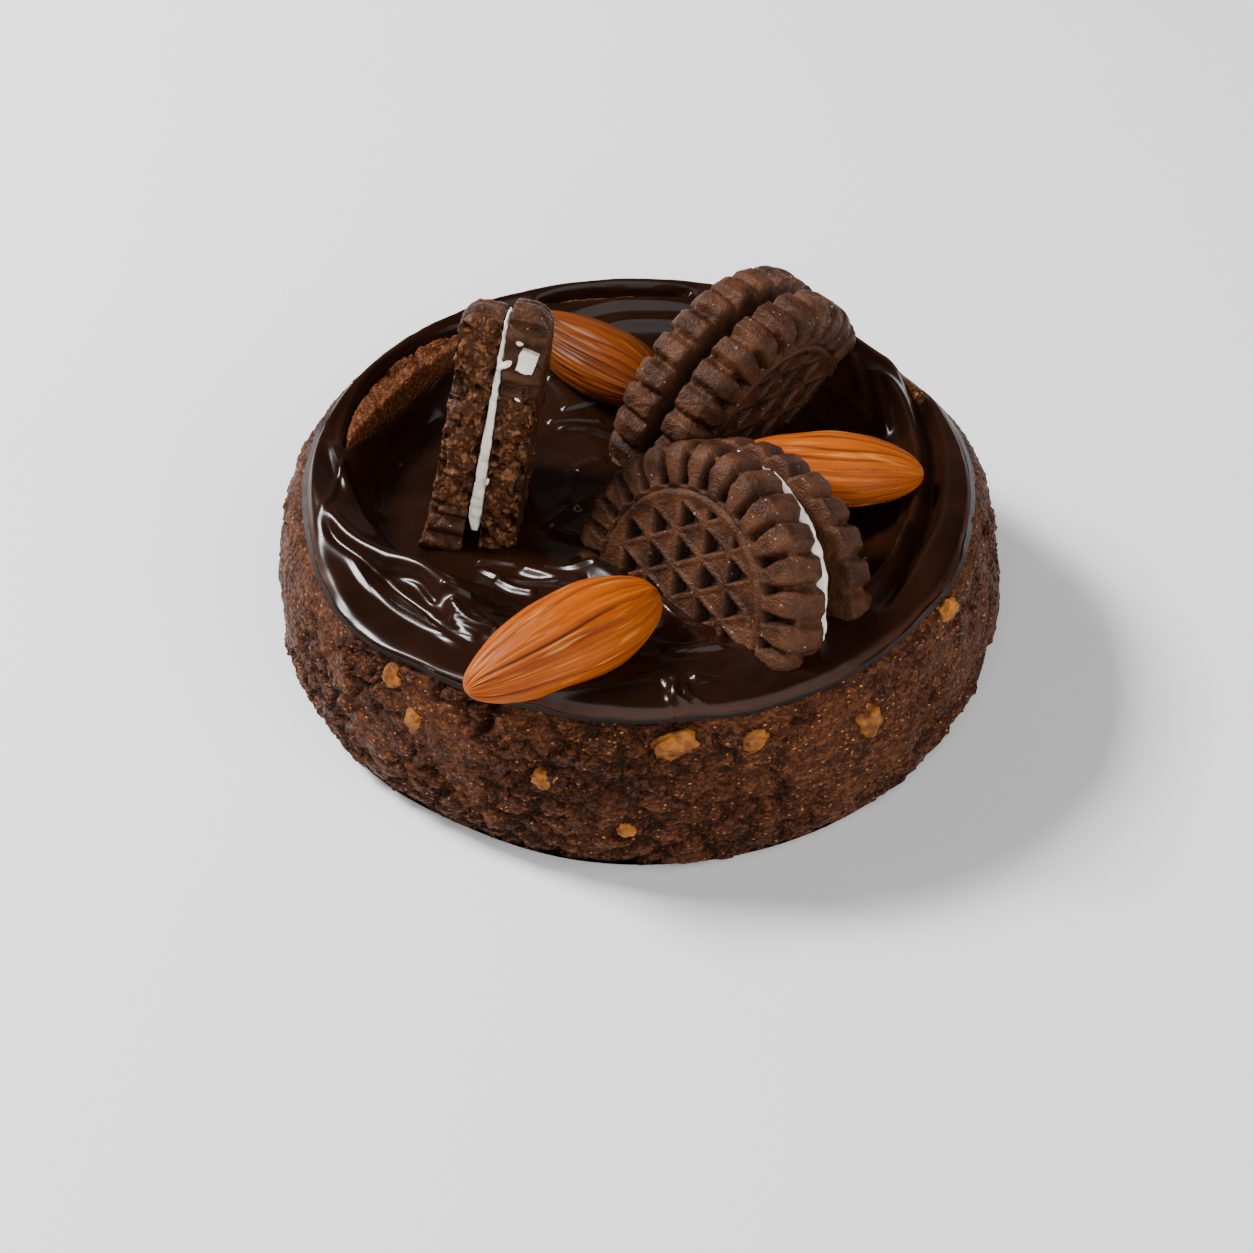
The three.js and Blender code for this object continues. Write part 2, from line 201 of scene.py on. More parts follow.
def turned(profile: np.ndarray, steps: int, axis: Point) -> BMesh:
    """A profile spun into a closed body: one sector in small steps, then the sector round the axis.

    Args:
        profile: Points of the profile, from axis to axis.
        steps: Number of steps round, a multiple of SECTORS.
        axis: The axis, through the origin.

    Returns:
        The body, its seams and poles merged and its faces outwards.
    """
    bm = bmesh.new()
    verts = [bm.verts.new(point) for point in profile]
    edges = [bm.edges.new(pair) for pair in pairwise(verts)]
    sector = math.tau / SECTORS
    spin = {"cent": (0, 0, 0), "axis": axis}
    bmesh.ops.spin(bm, geom=verts + edges, angle=sector, steps=steps // SECTORS, **spin)
    whole = bm.verts[:] + bm.edges[:] + bm.faces[:]
    bmesh.ops.spin(bm, geom=whole, angle=math.tau - sector, steps=SECTORS - 1, use_duplicate=True, **spin)
    bmesh.ops.remove_doubles(bm, verts=bm.verts, dist=MERGE_DISTANCE)
    bmesh.ops.recalc_face_normals(bm, faces=bm.faces)
    return bm


def trim(bm: BMesh, place: Point, normal: Point) -> None:
    """Cut a body along a plane, drop the part the normal points to and close the cut.

    Args:
        bm: The body, changed in place.
        place: A point of the plane.
        normal: The plane's normal.
    """
    geometry = bm.verts[:] + bm.edges[:] + bm.faces[:]
    cut = bmesh.ops.bisect_plane(bm, geom=geometry, plane_co=place, plane_no=normal, clear_outer=True)
    rim = [part for part in cut["geom_cut"] if isinstance(part, BMEdge)]
    if rim:
        bmesh.ops.edgeloop_fill(bm, edges=rim)
    bmesh.ops.recalc_face_normals(bm, faces=bm.faces)


def to_mesh(bm: BMesh, name: str) -> Mesh:
    """Turn a bmesh into a mesh.

    Args:
        bm: The bmesh, freed afterwards.
        name: Name of the mesh.

    Returns:
        The mesh.
    """
    mesh = bpy.data.meshes.new(name)
    bm.to_mesh(mesh)
    bm.free()
    return mesh


def remeshed(bm: BMesh, name: str, voxel: float, smoothing: int = 0) -> Mesh:
    """Give a closed body an even fine surface, ready for relief.

    Args:
        bm: The body, freed afterwards.
        name: Name of the mesh.
        voxel: Size of the new faces in mm.
        smoothing: Number of rounds that soften its edges.

    Returns:
        The fine mesh.
    """
    coarse = bpy.data.objects.new(name, to_mesh(bm, name))
    bpy.context.scene.collection.objects.link(coarse)
    grain = coarse.modifiers.new("grain", "REMESH")
    grain.mode = "VOXEL"
    grain.voxel_size = voxel
    if smoothing:
        soft = coarse.modifiers.new("soft", "SMOOTH")
        soft.iterations = smoothing
    graph = bpy.context.evaluated_depsgraph_get()
    fine = bpy.data.meshes.new_from_object(coarse.evaluated_get(graph))
    bpy.data.objects.remove(coarse)
    return fine


def add_piece(name: str, mesh: Mesh, material: Material, node: str) -> None:
    """Make a finished mesh a piece of the cookie.

    Args:
        name: Name of the piece.
        mesh: Its mesh in mm, in the part's frame.
        material: Its finish.
        node: CAD node it stands for.
    """
    mesh.transform(Matrix.Scale(MM, 4))
    mesh.shade_smooth()
    mesh.materials.clear()
    mesh.materials.append(material)
    piece = bpy.data.objects.new(name, mesh)
    bpy.context.scene.collection.objects.link(piece)
    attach(piece, "root")
    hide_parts(node)
    LOG.info("%s: %d faces", name, len(mesh.polygons))


# Finishes


def linear(colour: str) -> tuple[float, ...]:
    """Turn an sRGB hex value into linear colour.

    Args:
        colour: Such as "#5a3825".

    Returns:
        Red, green, blue and 1.
    """
    shares = [int(colour[i : i + 2], 16) / 255 for i in (1, 3, 5)]
    red, green, blue = (s / 12.92 if s <= 0.04045 else ((s + 0.055) / 1.055) ** 2.4 for s in shares)
    return red, green, blue, 1.0


def per_metre(size_mm: float) -> float:
    """Scale of a texture whose features are this many mm."""
    return 1.0 / (size_mm * MM)


def add_node(tree: NodeTree, kind: str, links: dict[str | int, Any], **settings: Any) -> Node:
    """Add a node with its settings, values and links.

    Args:
        tree: The tree.
        kind: The node's type without its ShaderNode prefix.
        links: A socket to link from, or a value, for each named input.
        **settings: Properties of the node.

    Returns:
        The node.
    """
    node = tree.nodes.new("ShaderNode" + kind)
    for key, value in settings.items():
        setattr(node, key, value)
    for key, value in links.items():
        if isinstance(value, NodeSocket):
            tree.links.new(value, node.inputs[key])
        else:
            node.inputs[key].default_value = value
    return node


def new_material(name: str) -> tuple[Material, NodeTree, Node]:
    """A material with an empty Principled surface.

    Args:
        name: Its name.

    Returns:
        The material, its tree and its Principled node.
    """
    material = bpy.data.materials.new(name)
    material.use_nodes = True
    tree = material.node_tree
    return material, tree, tree.nodes["Principled BSDF"]


# Sockets of a Mix node in colour mode
MIX_SHARE, MIX_UNDER, MIX_OVER, MIX_OUT = 0, 6, 7, 2


def spanned(value: NodeSocket, span: Span, ends: Span) -> dict[str, Any]:
    """Inputs of a Map Range node that turns a span of values into one between two ends."""
    return {"Value": value, "From Min": span[0], "From Max": span[1], "To Min": ends[0], "To Max": ends[1]}


def lay(
    tree: NodeTree, under: Any, over: Any, mask: NodeSocket, span: Span, shares: Span = (0.0, 1.0)
) -> NodeSocket:
    """Lay a colour over another as a mask rises.

    Args:
        tree: The tree.
        under: Socket or linear colour below.
        over: Socket or linear colour above.
        mask: What says where the upper colour shows.
        span: Values of the mask between which its share changes.
        shares: Its share at the two ends of the span.

    Returns:
        The layered colour.
    """
    share = add_node(tree, "MapRange", spanned(mask, span, shares)).outputs["Result"]
    links = {MIX_SHARE: share, MIX_UNDER: under, MIX_OVER: over}
    return add_node(tree, "Mix", links, data_type="RGBA").outputs[MIX_OUT]


def mottled(
    tree: NodeTree, place: NodeSocket, patches: tuple[float, float], span: Span, colours: tuple[str, str]
) -> tuple[NodeSocket, NodeSocket]:
    """Two colours in soft patches.

    Args:
        tree: The tree.
        place: Coordinates.
        patches: Their size in mm and their detail.
        span: Values of the pattern between which the first colour gives way to the second.
        colours: The two colours as hex values.

    Returns:
        The colour and the pattern.
    """
    size, detail = patches
    inputs = {"Vector": place, "Scale": per_metre(size), "Detail": detail}
    pattern = add_node(tree, "TexNoise", inputs).outputs["Fac"]
    return lay(tree, linear(colours[0]), linear(colours[1]), pattern, span), pattern


def dress(
    tree: NodeTree, surface: Node, colour: Any, relief: Any, strength: float, depth: float
) -> None:
    """Give a surface its colour and its fine relief.

    Args:
        tree: The tree.
        surface: The Principled node.
        colour: Socket of the colour.
        relief: Socket of the relief's height.
        strength: Share of the relief that shows.
        depth: Depth of the relief in mm.
    """
    bump = add_node(tree, "Bump", {"Height": relief, "Strength": strength, "Distance": depth * MM})
    tree.links.new(colour, surface.inputs["Base Color"])
    tree.links.new(bump.outputs["Normal"], surface.inputs["Normal"])


def roughen(tree: NodeTree, surface: Node, mask: Any, span: Span, ends: Span) -> None:
    """Let a mask set a surface's roughness.

    Args:
        tree: The tree.
        surface: The Principled node.
        mask: Socket of the mask.
        span: Values of the mask between which the roughness changes.
        ends: Roughness at the two ends of the span.
    """
    rough = add_node(tree, "MapRange", spanned(mask, span, ends)).outputs["Result"]
    tree.links.new(rough, surface.inputs["Roughness"])


@dataclass(frozen=True)
class BakedCrumb:
    """Baked cocoa dough, pressed in a ring and dried: matt, grainy, with lighter grains, and painted shade in
    its hollows.
    """

    dark: str = "#2f150a"
    light: str = "#462411"
    pale: str = "#6c3d22"
    grain: str = "#c98b50"
    # deep: colour of the painted shade in the gaps, pores and hollows
    deep: str = "#0e0502"
    patch_mm: float = 6.0
    grain_mm: float = 1.0
    flatness: float = 2.0
    shake_mm: float = 0.9
    crumb_mm: float = 0.45
    speck_mm: float = 0.7
    relief_mm: float = 0.3
    stone_share: float = 1.2
    specular: float = 0.07

    def build(self) -> Material:
        """Make the material.

        Returns:
            The material.
        """
        material, tree, surface = new_material("baked_cocoa_dough")
        place = add_node(tree, "TexCoord", {}).outputs["Object"]
        colour, _ = mottled(tree, place, (self.patch_mm, 6.0), (0.36, 0.64), (self.dark, self.light))
        # pale grains, their outlines shaken and longer sideways than upwards
        squeeze = {0: place, 1: (1.0, 1.0, self.flatness)}
        flat = add_node(tree, "VectorMath", squeeze, operation="MULTIPLY").outputs["Vector"]
        bent = add_node(tree, "TexNoise", {"Vector": place, "Scale": per_metre(self.grain_mm), "Detail": 3.0})
        shake = {0: bent.outputs["Color"], 1: (self.shake_mm * MM,) * 3, 2: flat}
        shaken = add_node(tree, "VectorMath", shake, operation="MULTIPLY_ADD").outputs["Vector"]
        grained = {"Vector": shaken, "Scale": per_metre(self.grain_mm)}
        grains = add_node(tree, "TexVoronoi", grained).outputs["Color"]
        lot = add_node(tree, "SeparateColor", {"Color": grains}).outputs["Green"]
        colour = lay(tree, colour, linear(self.pale), lot, (0.4, 1.0), (0.0, 0.65))
        # scattered golden specks
        specks = add_node(tree, "TexVoronoi", {"Vector": flat, "Scale": per_metre(self.speck_mm)}).outputs
        chance = add_node(tree, "SeparateColor", {"Color": specks["Color"]}).outputs["Red"]
        fleck = lay(tree, colour, linear(self.grain), specks["Distance"], (0.16, 0.34), (1.0, 0.0))
        colour = lay(tree, colour, fleck, chance, (0.7, 0.95), (0.0, 0.9))
        # bare crust is paler, partly painted light on the bare patches; and the looser the crumb, the darker
        # the painted shade in the gaps between its grains
        loose = add_node(tree, "Attribute", {}, attribute_name="loose").outputs["Fac"]
        colour = lay(tree, colour, linear(self.pale), loose, (1.0, 2.0), (0.0, 0.7))
        seams = add_node(tree, "TexVoronoi", grained, feature="DISTANCE_TO_EDGE").outputs["Distance"]
        rough = add_node(tree, "MapRange", spanned(loose, (0.0, 0.8), (0.3, 1.0))).outputs["Result"]
        gap_shade = add_node(tree, "MapRange", spanned(seams, (0.0, 0.14), (0.65, 0.0))).outputs["Result"]
        gap_shade = add_node(tree, "Math", {0: gap_shade, 1: rough}, operation="MULTIPLY").outputs["Value"]
        colour = lay(tree, colour, linear(self.deep), gap_shade, (0.0, 1.0))
        # painted shade in the pores and in the deep hollows of the shape, and painted light on the raised
        # crumbs
        fine = {"Vector": place, "Scale": per_metre(self.crumb_mm), "Detail": 3.0}
        crumb = add_node(tree, "TexNoise", fine).outputs["Fac"]
        colour = lay(tree, colour, linear(self.deep), crumb, (0.3, 0.46), (0.75, 0.0))
        colour = lay(tree, colour, linear(self.pale), crumb, (0.56, 0.72), (0.0, 0.7))
        hollow = add_node(tree, "Attribute", {}, attribute_name="hollow").outputs["Fac"]
        colour = lay(tree, colour, linear(self.deep), hollow, (0.1, 1.0), (0.0, 0.75))
        stones = add_node(tree, "Math", {0: seams, 1: rough}, operation="MULTIPLY").outputs["Value"]
        craggy = {0: stones, 1: self.stone_share, 2: crumb}
        crags = add_node(tree, "Math", craggy, operation="MULTIPLY_ADD").outputs["Value"]
        dress(tree, surface, colour, crags, 1.0, self.relief_mm)
        roughen(tree, surface, crumb, (0.3, 0.7), (0.6, 0.32))
        surface.inputs["Specular IOR Level"].default_value = self.specular
        return material


@dataclass(frozen=True)
class SetGanache:
    """Chocolate and cream ganache, spread with a knife and set: dark, wet gloss on soft folds."""

    dark: str = "#180a04"
    light: str = "#241007"
    thin: str = "#48230e"
    patch_mm: float = 9.0
    ripple_mm: float = 1.6
    relief_mm: float = 0.1
    roughness: float = 0.23
    edge_roughness: float = 0.5
    ior: float = 1.3

    def build(self) -> Material:
        """Make the material.

        Returns:
            The material.
        """
        material, tree, surface = new_material("set_ganache")
        place = add_node(tree, "TexCoord", {}).outputs["Object"]
        colour, _ = mottled(tree, place, (self.patch_mm, 3.0), (0.35, 0.65), (self.dark, self.light))
        edge = add_node(tree, "Attribute", {}, attribute_name="edge").outputs["Fac"]
        colour = lay(tree, colour, linear(self.thin), edge, (0.0, 1.0), (0.0, 0.5))
        soft = {"Vector": place, "Scale": per_metre(self.ripple_mm), "Detail": 2.0}
        dress(tree, surface, colour, add_node(tree, "TexNoise", soft).outputs["Fac"], 0.1, self.relief_mm)
        roughen(tree, surface, edge, (0.0, 1.0), (self.roughness, self.edge_roughness))
        surface.inputs["IOR"].default_value = self.ior
        return material


@dataclass(frozen=True)
class CocoaWafer:
    """Hard baked dark cocoa biscuit, moulded: matt with a faint sheen, its broken side porous and warmer."""

    dark: str = "#321b0f"
    light: str = "#52311e"
    broken: str = "#432513"
    # deep: colour of the painted shade in the pits, slots, pores and chips
    deep: str = "#0d0502"
    fleck: str = "#8f5c38"
    sugar_and_glint: str = "#a08a78"
    patch_mm: float = 3.0
    fleck_mm: float = 0.5
    crumb_mm: float = 0.3
    relief_mm: float = 0.22
    specular: float = 0.14

    def build(self) -> Material:
        """Make the material.

        Returns:
            The material.
        """
        material, tree, surface = new_material("cocoa_wafer")
        place = add_node(tree, "TexCoord", {}).outputs["Object"]
        colour, _ = mottled(tree, place, (self.patch_mm, 5.0), (0.35, 0.65), (self.dark, self.light))
        # a few pale grains of sugar on the moulded faces, partly painted glints
        flecks = add_node(tree, "TexVoronoi", {"Vector": place, "Scale": per_metre(self.fleck_mm)}).outputs
        lot = add_node(tree, "SeparateColor", {"Color": flecks["Color"]}).outputs
        sugar_glint = lay(tree, colour, linear(self.sugar_and_glint), flecks["Distance"], (0.2, 0.3), (1.0, 0.0))
        colour = lay(tree, colour, sugar_glint, lot["Green"], (0.97, 0.975), (0.0, 0.8))
        # flecked crumb on the broken side, and painted shade in the pits and slots of the face and the pores
        # and chips of the break
        crumb_side = lay(tree, linear(self.broken), linear(self.fleck), lot["Red"], (0.6, 1.0), (0.0, 0.8))
        broken = add_node(tree, "Attribute", {}, attribute_name="broken").outputs["Fac"]
        colour = lay(tree, colour, crumb_side, broken, (0.0, 1.0))
        hollow = add_node(tree, "Attribute", {}, attribute_name="hollow").outputs["Fac"]
        colour = lay(tree, colour, linear(self.deep), hollow, (0.0, 1.0), (0.0, 0.85))
        fine = {"Vector": place, "Scale": per_metre(self.crumb_mm), "Detail": 3.0}
        crumb = add_node(tree, "TexNoise", fine).outputs["Fac"]
        dress(tree, surface, colour, crumb, 1.0, self.relief_mm)
        roughen(tree, surface, crumb, (0.3, 0.7), (0.58, 0.3))
        surface.inputs["Specular IOR Level"].default_value = self.specular
        return material


@dataclass(frozen=True)
class VanillaCream:
    """Firm sugar cream filling, pressed: off-white and satin, with faint unevenness."""

    light: str = "#f3ece0"
    dark: str = "#e2d6c2"
    patch_mm: float = 1.6
    relief_mm: float = 0.1
    roughness: float = 0.5

    def build(self) -> Material:
        """Make the material.

        Returns:
            The material.
        """
        material, tree, surface = new_material("vanilla_cream")
        place = add_node(tree, "TexCoord", {}).outputs["Object"]
        colour, patches = mottled(tree, place, (self.patch_mm, 4.0), (0.4, 0.7), (self.light, self.dark))
        dress(tree, surface, colour, patches, 0.3, self.relief_mm)
        surface.inputs["Roughness"].default_value = self.roughness
        return material


@dataclass(frozen=True)
class AlmondSkin:
    """Natural almond skin, dried: orange brown, wrinkled lengthwise, painted shade in its furrows, dusty ribs.
    """

    name: str = "almond_skin"
    dark: str = "#823805"
    light: str = "#a9510c"
    # furrow: colour of the painted shade in the furrows
    furrow: str = "#4a1a02"
    dust: str = "#cf9048"
    streak_mm: float = 1.6
    dust_mm: float = 0.6
    relief_mm: float = 0.1
    roughness: float = 0.45
    specular: float = 0.12

    def build(self) -> Material:
        """Make the material.

        Returns:
            The material.
        """
        material, tree, surface = new_material(self.name)
        grain = add_node(tree, "Attribute", {}, attribute_name="grain").outputs["Vector"]
        colour, streaks = mottled(tree, grain, (self.streak_mm, 4.0), (0.35, 0.65), (self.dark, self.light))
        # painted shade in the furrows
        furrow = add_node(tree, "Attribute", {}, attribute_name="hollow").outputs["Fac"]
        colour = lay(tree, colour, linear(self.furrow), furrow, (0.0, 1.0), (0.0, 0.95))
        dust = add_node(tree, "TexNoise", {"Vector": grain, "Scale": per_metre(self.dust_mm), "Detail": 5.0})
        colour = lay(tree, colour, linear(self.dust), dust.outputs["Fac"], (0.56, 0.74), (0.0, 0.6))
        dress(tree, surface, colour, streaks, 0.3, self.relief_mm)
        surface.inputs["Roughness"].default_value = self.roughness
        surface.inputs["Specular IOR Level"].default_value = self.specular
        return material


@dataclass(frozen=True)
class ChoppedNut:
    """Chopped roasted nut in the dough: pale cut faces, browner skin side."""

    light: str = "#925a1e"
    dark: str = "#5c300e"
    patch_mm: float = 1.6
    relief_mm: float = 0.15
    roughness: float = 0.5
    specular: float = 0.15

    def build(self) -> Material:
        """Make the material.

        Returns:
            The material.
        """
        material, tree, surface = new_material("chopped_nut")
        place = add_node(tree, "TexCoord", {}).outputs["Object"]
        colour, patches = mottled(tree, place, (self.patch_mm, 4.0), (0.4, 0.6), (self.light, self.dark))
        dress(tree, surface, colour, patches, 0.4, self.relief_mm)
        surface.inputs["Roughness"].default_value = self.roughness
        surface.inputs["Specular IOR Level"].default_value = self.specular
        return material


@dataclass(frozen=True)
class PaintedBoard:
    """White painted board of the studio floor: plain and matt, with a faint unevenness."""

    light: str = "#f4f4f5"
    dark: str = "#efeff0"
    patch_mm: float = 60.0
    roughness: float = 0.6

    def build(self) -> Material:
        """Make the material.

        Returns:
            The material.
        """
        material, tree, surface = new_material("white_painted_board")
        place = add_node(tree, "TexCoord", {}).outputs["Object"]
        colour, _ = mottled(tree, place, (self.patch_mm, 2.0), (0.0, 1.0), (self.light, self.dark))
        tree.links.new(colour, surface.inputs["Base Color"])
        surface.inputs["Roughness"].default_value = self.roughness
        return material


# Outlines that the base and the ganache share


@dataclass(frozen=True)
class OutlineBump:
    """A flat or a swelling of the round outline: bearing and half width in degrees, depth in mm."""

    bearing: float
    half_width: float
    depth: float


OUTLINE_BUMPS = (OutlineBump(40, 18, -1.1), OutlineBump(240, 15, -0.8), OutlineBump(150, 20, 0.5))
# Where the rim lies lower: the depth is a share of what stands above SINK_START
RIM_DIPS = (OutlineBump(222, 26, 0.7), OutlineBump(287, 28, 0.5))
SINK_START = 22.9
# Room that the cookie leaves under the ganache's folds, and the radii between which it begins
UNDERCUT_DEPTH = 2.6
UNDERCUT_SPAN = (41.0, 39.4)


def swelling(bumps: tuple[OutlineBump, ...], bearing: np.ndarray) -> np.ndarray:
    """Sum of some bumps at each bearing."""
    return sum(bump.depth * bell((bearing - bump.bearing) / bump.half_width) for bump in bumps)


def sunk(height: np.ndarray, bearing: np.ndarray) -> np.ndarray:
    """Height that each place of the usual rim has where the rim lies lower.

    Args:
        height: Usual height of each place.
        bearing: Bearing of each place in degrees.

    Returns:
        The lower heights.
    """
    kept = np.ones_like(height)
    for dip in RIM_DIPS:
        kept *= 1 - dip.depth * bell((bearing - dip.bearing) / dip.half_width)
    return np.minimum(height, SINK_START + kept * (height - SINK_START))


def outline_shift(bearing: np.ndarray) -> np.ndarray:
    """How far the outline lies outside a true circle.

    Args:
        bearing: Bearing of each place in degrees.

    Returns:
        The distance in mm.
    """
    shift = np.zeros_like(bearing)
    for bump in OUTLINE_BUMPS:
        turn = np.abs(bearing - bump.bearing)
        shift += bump.depth * bell(np.minimum(turn, 360 - turn) / bump.half_width)
    return shift


def undercut(radius: np.ndarray) -> np.ndarray:
    """How far the covered part of the cookie gives way in mm, to leave room for the ganache's folds."""
    return UNDERCUT_DEPTH * smoothstep(radius, *UNDERCUT_SPAN)


@dataclass(frozen=True)
class BareCrescent:
    """A lens between two bearings where the ganache leaves the cookie bare.

    The lens runs from tip to tip at one radius and bulges to the inner and the outer radius half way. The
    crust in it reaches up to level.
    """

    start: float
    end: float
    tip: float
    inner: float
    outer: float
    level: float
    fullness: float = 0.7

    def depth_inside(self, radius: np.ndarray, bearing: np.ndarray) -> np.ndarray:
        """Distance inside the lens's edge in mm, negative outside it.

        Args:
            radius: Distance of each place from the axis.
            bearing: Bearing of each place in degrees.

        Returns:
            One distance for each place.
        """
        share = np.clip((bearing - self.start) / (self.end - self.start), 0.0, 1.0)
        swell = np.sin(math.pi * share) ** self.fullness
        outer = self.tip + (self.outer - self.tip) * swell
        inner = self.tip + (self.inner - self.tip) * swell
        inside = np.minimum(outer - radius, radius - inner)
        beyond = np.maximum(self.start - bearing, bearing - self.end)
        return np.where(beyond > 0, -np.hypot(inside, np.radians(beyond) * self.tip), inside)


CRESCENTS = (
    BareCrescent(118, 174, 37.2, 34.2, 38.9, 26.2),
    BareCrescent(80, 110, 38.6, 37.9, 39.3, 25.8),
)


# The baked base


@dataclass(frozen=True)
class NutPiece:
    """A piece of chopped nut in the side: its bearing, height, width along the side, height and depth."""

    bearing: float
    height: float
    wide: float
    tall: float
    deep: float


@dataclass(frozen=True)
class Crack:
    """A crack in the side, through nodes of bearing and height."""

    nodes: tuple[tuple[float, float], ...]
    half_width: float
    depth: float


@dataclass
class CookieBase:
    """The thick baked base with its hollow, rough side and chopped nuts."""

    flank: tuple = ((43.4, 0), (45.5, 4.5), (BULGE_RADIUS, 11), (45.1, 18.5), (43.5, 22.9))
    shoulder: tuple = ((43.5, 22.9), (42.2, 24.4), (40.4, 25.3), (38.6, 25.5))
    inner_rim: tuple = ((38.6, 25.5), (35.6, 24.2), (32.6, 20.7))
    hollow: tuple = ((32.6, 20.7), (29, 17.9), (26, 16.6), (19, 15.6))
    hollow_floor: float = 15.5
    round_steps: int = 672
    flank_steps: int = 84
    shoulder_steps: int = 16
    bare_steps: int = 22
    hollow_steps: int = 8
    flat_radii: tuple = (0, 16, 30, 38, 41.5)
    # the side, the heights between which it turns into the top, and those between which its crumb gets firmer
    side_from: float = 42.0
    top_span: Span = (21.0, 25.0)
    low_span: Span = (2.0, 14.0)
    # the crumb: sizes of its lumps, grains and holes, and how far they stand out or reach in
    lump_mm: float = 8.0
    lump_height: float = 0.5
    crumb_mm: float = 1.1
    crumb_height: float = 0.16
    warp_mm: float = 2.6
    warp: float = 1.1
    flatness: float = 1.5
    stone_mm: float = 4.4
    grain_mm: float = 1.4
    crevice_depth: float = 0.75
    crevice_width: float = 0.2
    fissure_depth: float = 0.25
    fissure_width: float = 0.22
    hole_mm: float = 2.4
    hole_depth: float = 0.7
    hole_size: float = 0.3
    hole_rare: float = 0.8
    # where the crumb is loose: more so low down and at some bearings
    low_loose: float = 0.45
    loose_span: Span = (-0.15, 0.6)
    coarser: tuple = (OutlineBump(252, 32, 0.35), OutlineBump(318, 25, -0.2))
    # the crust that the ganache leaves bare
    bare_blend: Span = (-1.1, 0.7)
    bare_lift: float = 2.6
    bare_relief: float = 0.8
    # the chopped nuts: how deep their middle lies in the side, their lumps and facets, the gap round them
    nut_sunk: float = 0.32
    nut_lumps: float = 0.35
    nut_facets: float = 0.6
    nut_gap: float = 0.15
    nuts: tuple = (
        NutPiece(229, 20.4, 3.0, 3.0, 2.0),
        NutPiece(234, 16.4, 2.4, 3.2, 2.0),
        NutPiece(256, 14.6, 3.0, 2.4, 1.8),
        NutPiece(275, 20.2, 5.6, 3.6, 1.9),
        NutPiece(287, 19.7, 3.2, 2.4, 1.7),
        NutPiece(306, 16.9, 3.4, 4.8, 2.9),
        NutPiece(327, 22.4, 3.0, 3.2, 2.0),
        NutPiece(268, 8.5, 2.0, 2.0, 1.6),
    )
    cracks: tuple = (
        Crack(((247.5, 23.2), (246.2, 21.4), (246.8, 20.0), (245.2, 18.4)), 0.6, 1.9),
        Crack(((238.5, 22.8), (237.6, 21.4), (238.4, 20.6)), 0.45, 1.3),
        Crack(((224.5, 21.6), (225.6, 20.6), (225.0, 19.2)), 0.35, 0.9),
        Crack(((281, 21.0), (281.6, 19.6), (283.6, 18.6), (284.4, 17.2)), 0.4, 1.0),
        Crack(((293, 20.6), (295, 20.2), (296.6, 20.9)), 0.35, 0.9),
        Crack(((252, 17.2), (254.6, 16.6), (257.4, 17.0)), 0.35, 0.9),
        Crack(((60, 14.0), (63, 13.2), (67, 13.8), (70, 12.8)), 0.3, 0.7),
        Crack(((140, 16.0), (143, 14.8), (147, 15.0)), 0.3, 0.7),
        Crack(((356, 15.0), (359, 14.2), (361, 12.8)), 0.3, 0.7),
    )

    def profile(self) -> np.ndarray:
        """Half outline from the middle of the underside to the middle of the hollow.

        Returns:
            Its points, one row each.
        """
        under = [(radius, 0) for radius in self.flat_radii]
        flank = spline(self.flank, self.flank_steps)
        shoulder = spline(self.shoulder, self.shoulder_steps)[1:]
        rim = spline(self.inner_rim, self.bare_steps)[1:]
        hollow = spline(self.hollow, self.hollow_steps)[1:]
        floor = [(9, self.hollow_floor), (0, self.hollow_floor)]
        flat = np.vstack([under, flank, shoulder, rim, hollow, floor])
        return np.stack([flat[:, 0], np.zeros(len(flat)), flat[:, 1]], 1)

    def side_relief(self, points: np.ndarray) -> tuple[np.ndarray, np.ndarray, np.ndarray]:
        """Relief of the rough side.

        Args:
            points: Places on the smooth base.

        Returns:
            How far each place stands out in mm, and from 0 to 1 how much painted shade it gets in its
            crevices, holes, cracks and the gaps round the nuts, and how loose its crumb is.
        """
        bearing = bearing_of(points)
        height = points[:, 2]
        low = 1 - smoothstep(height, *self.low_span)
        warp = np.stack([fractal(points, self.warp_mm, 3, seed) for seed in (3.1, 51.7, 71.9)], 1)
        wide = (points + self.warp * warp) * (1.0, 1.0, self.flatness)
        _, seam, lot = cells(wide, self.stone_mm, 5.3)
        _, fine_seam, fine_lot = cells(wide, self.grain_mm, 41.3)
        away, _, hole_lot = cells(wide, self.hole_mm, 90.1)
        coarse = swelling(self.coarser, bearing)
        loose = fractal(points, self.lump_mm, 3, 12.3) + self.low_loose * low + coarse
        loose = smoothstep(loose, *self.loose_span)
        crevice = (0.15 + 0.85 * loose) * (1 - smoothstep(seam, 0.0, self.crevice_width))
        fissure = (0.3 + 0.5 * loose) * (1 - smoothstep(fine_seam, 0.0, self.fissure_width))
        hole = np.clip(1.5 - away / self.hole_size, 0, 1) * (hole_lot > self.hole_rare) * (0.15 + 0.85 * low)
        relief = self.lump_height * fractal(points, self.lump_mm, 2, 7.7)
        relief += self.crumb_height * fractal(points, self.crumb_mm, 3, 23.9)
        relief += (0.25 + 0.5 * loose) * (lot - 0.4) * smoothstep(seam, 0.0, 0.5)
        relief += (0.3 + 0.3 * loose) * (fine_lot - 0.5) * smoothstep(fine_seam, 0.0, 0.35)
        relief -= self.crevice_depth * crevice + self.fissure_depth * fissure + self.hole_depth * hole
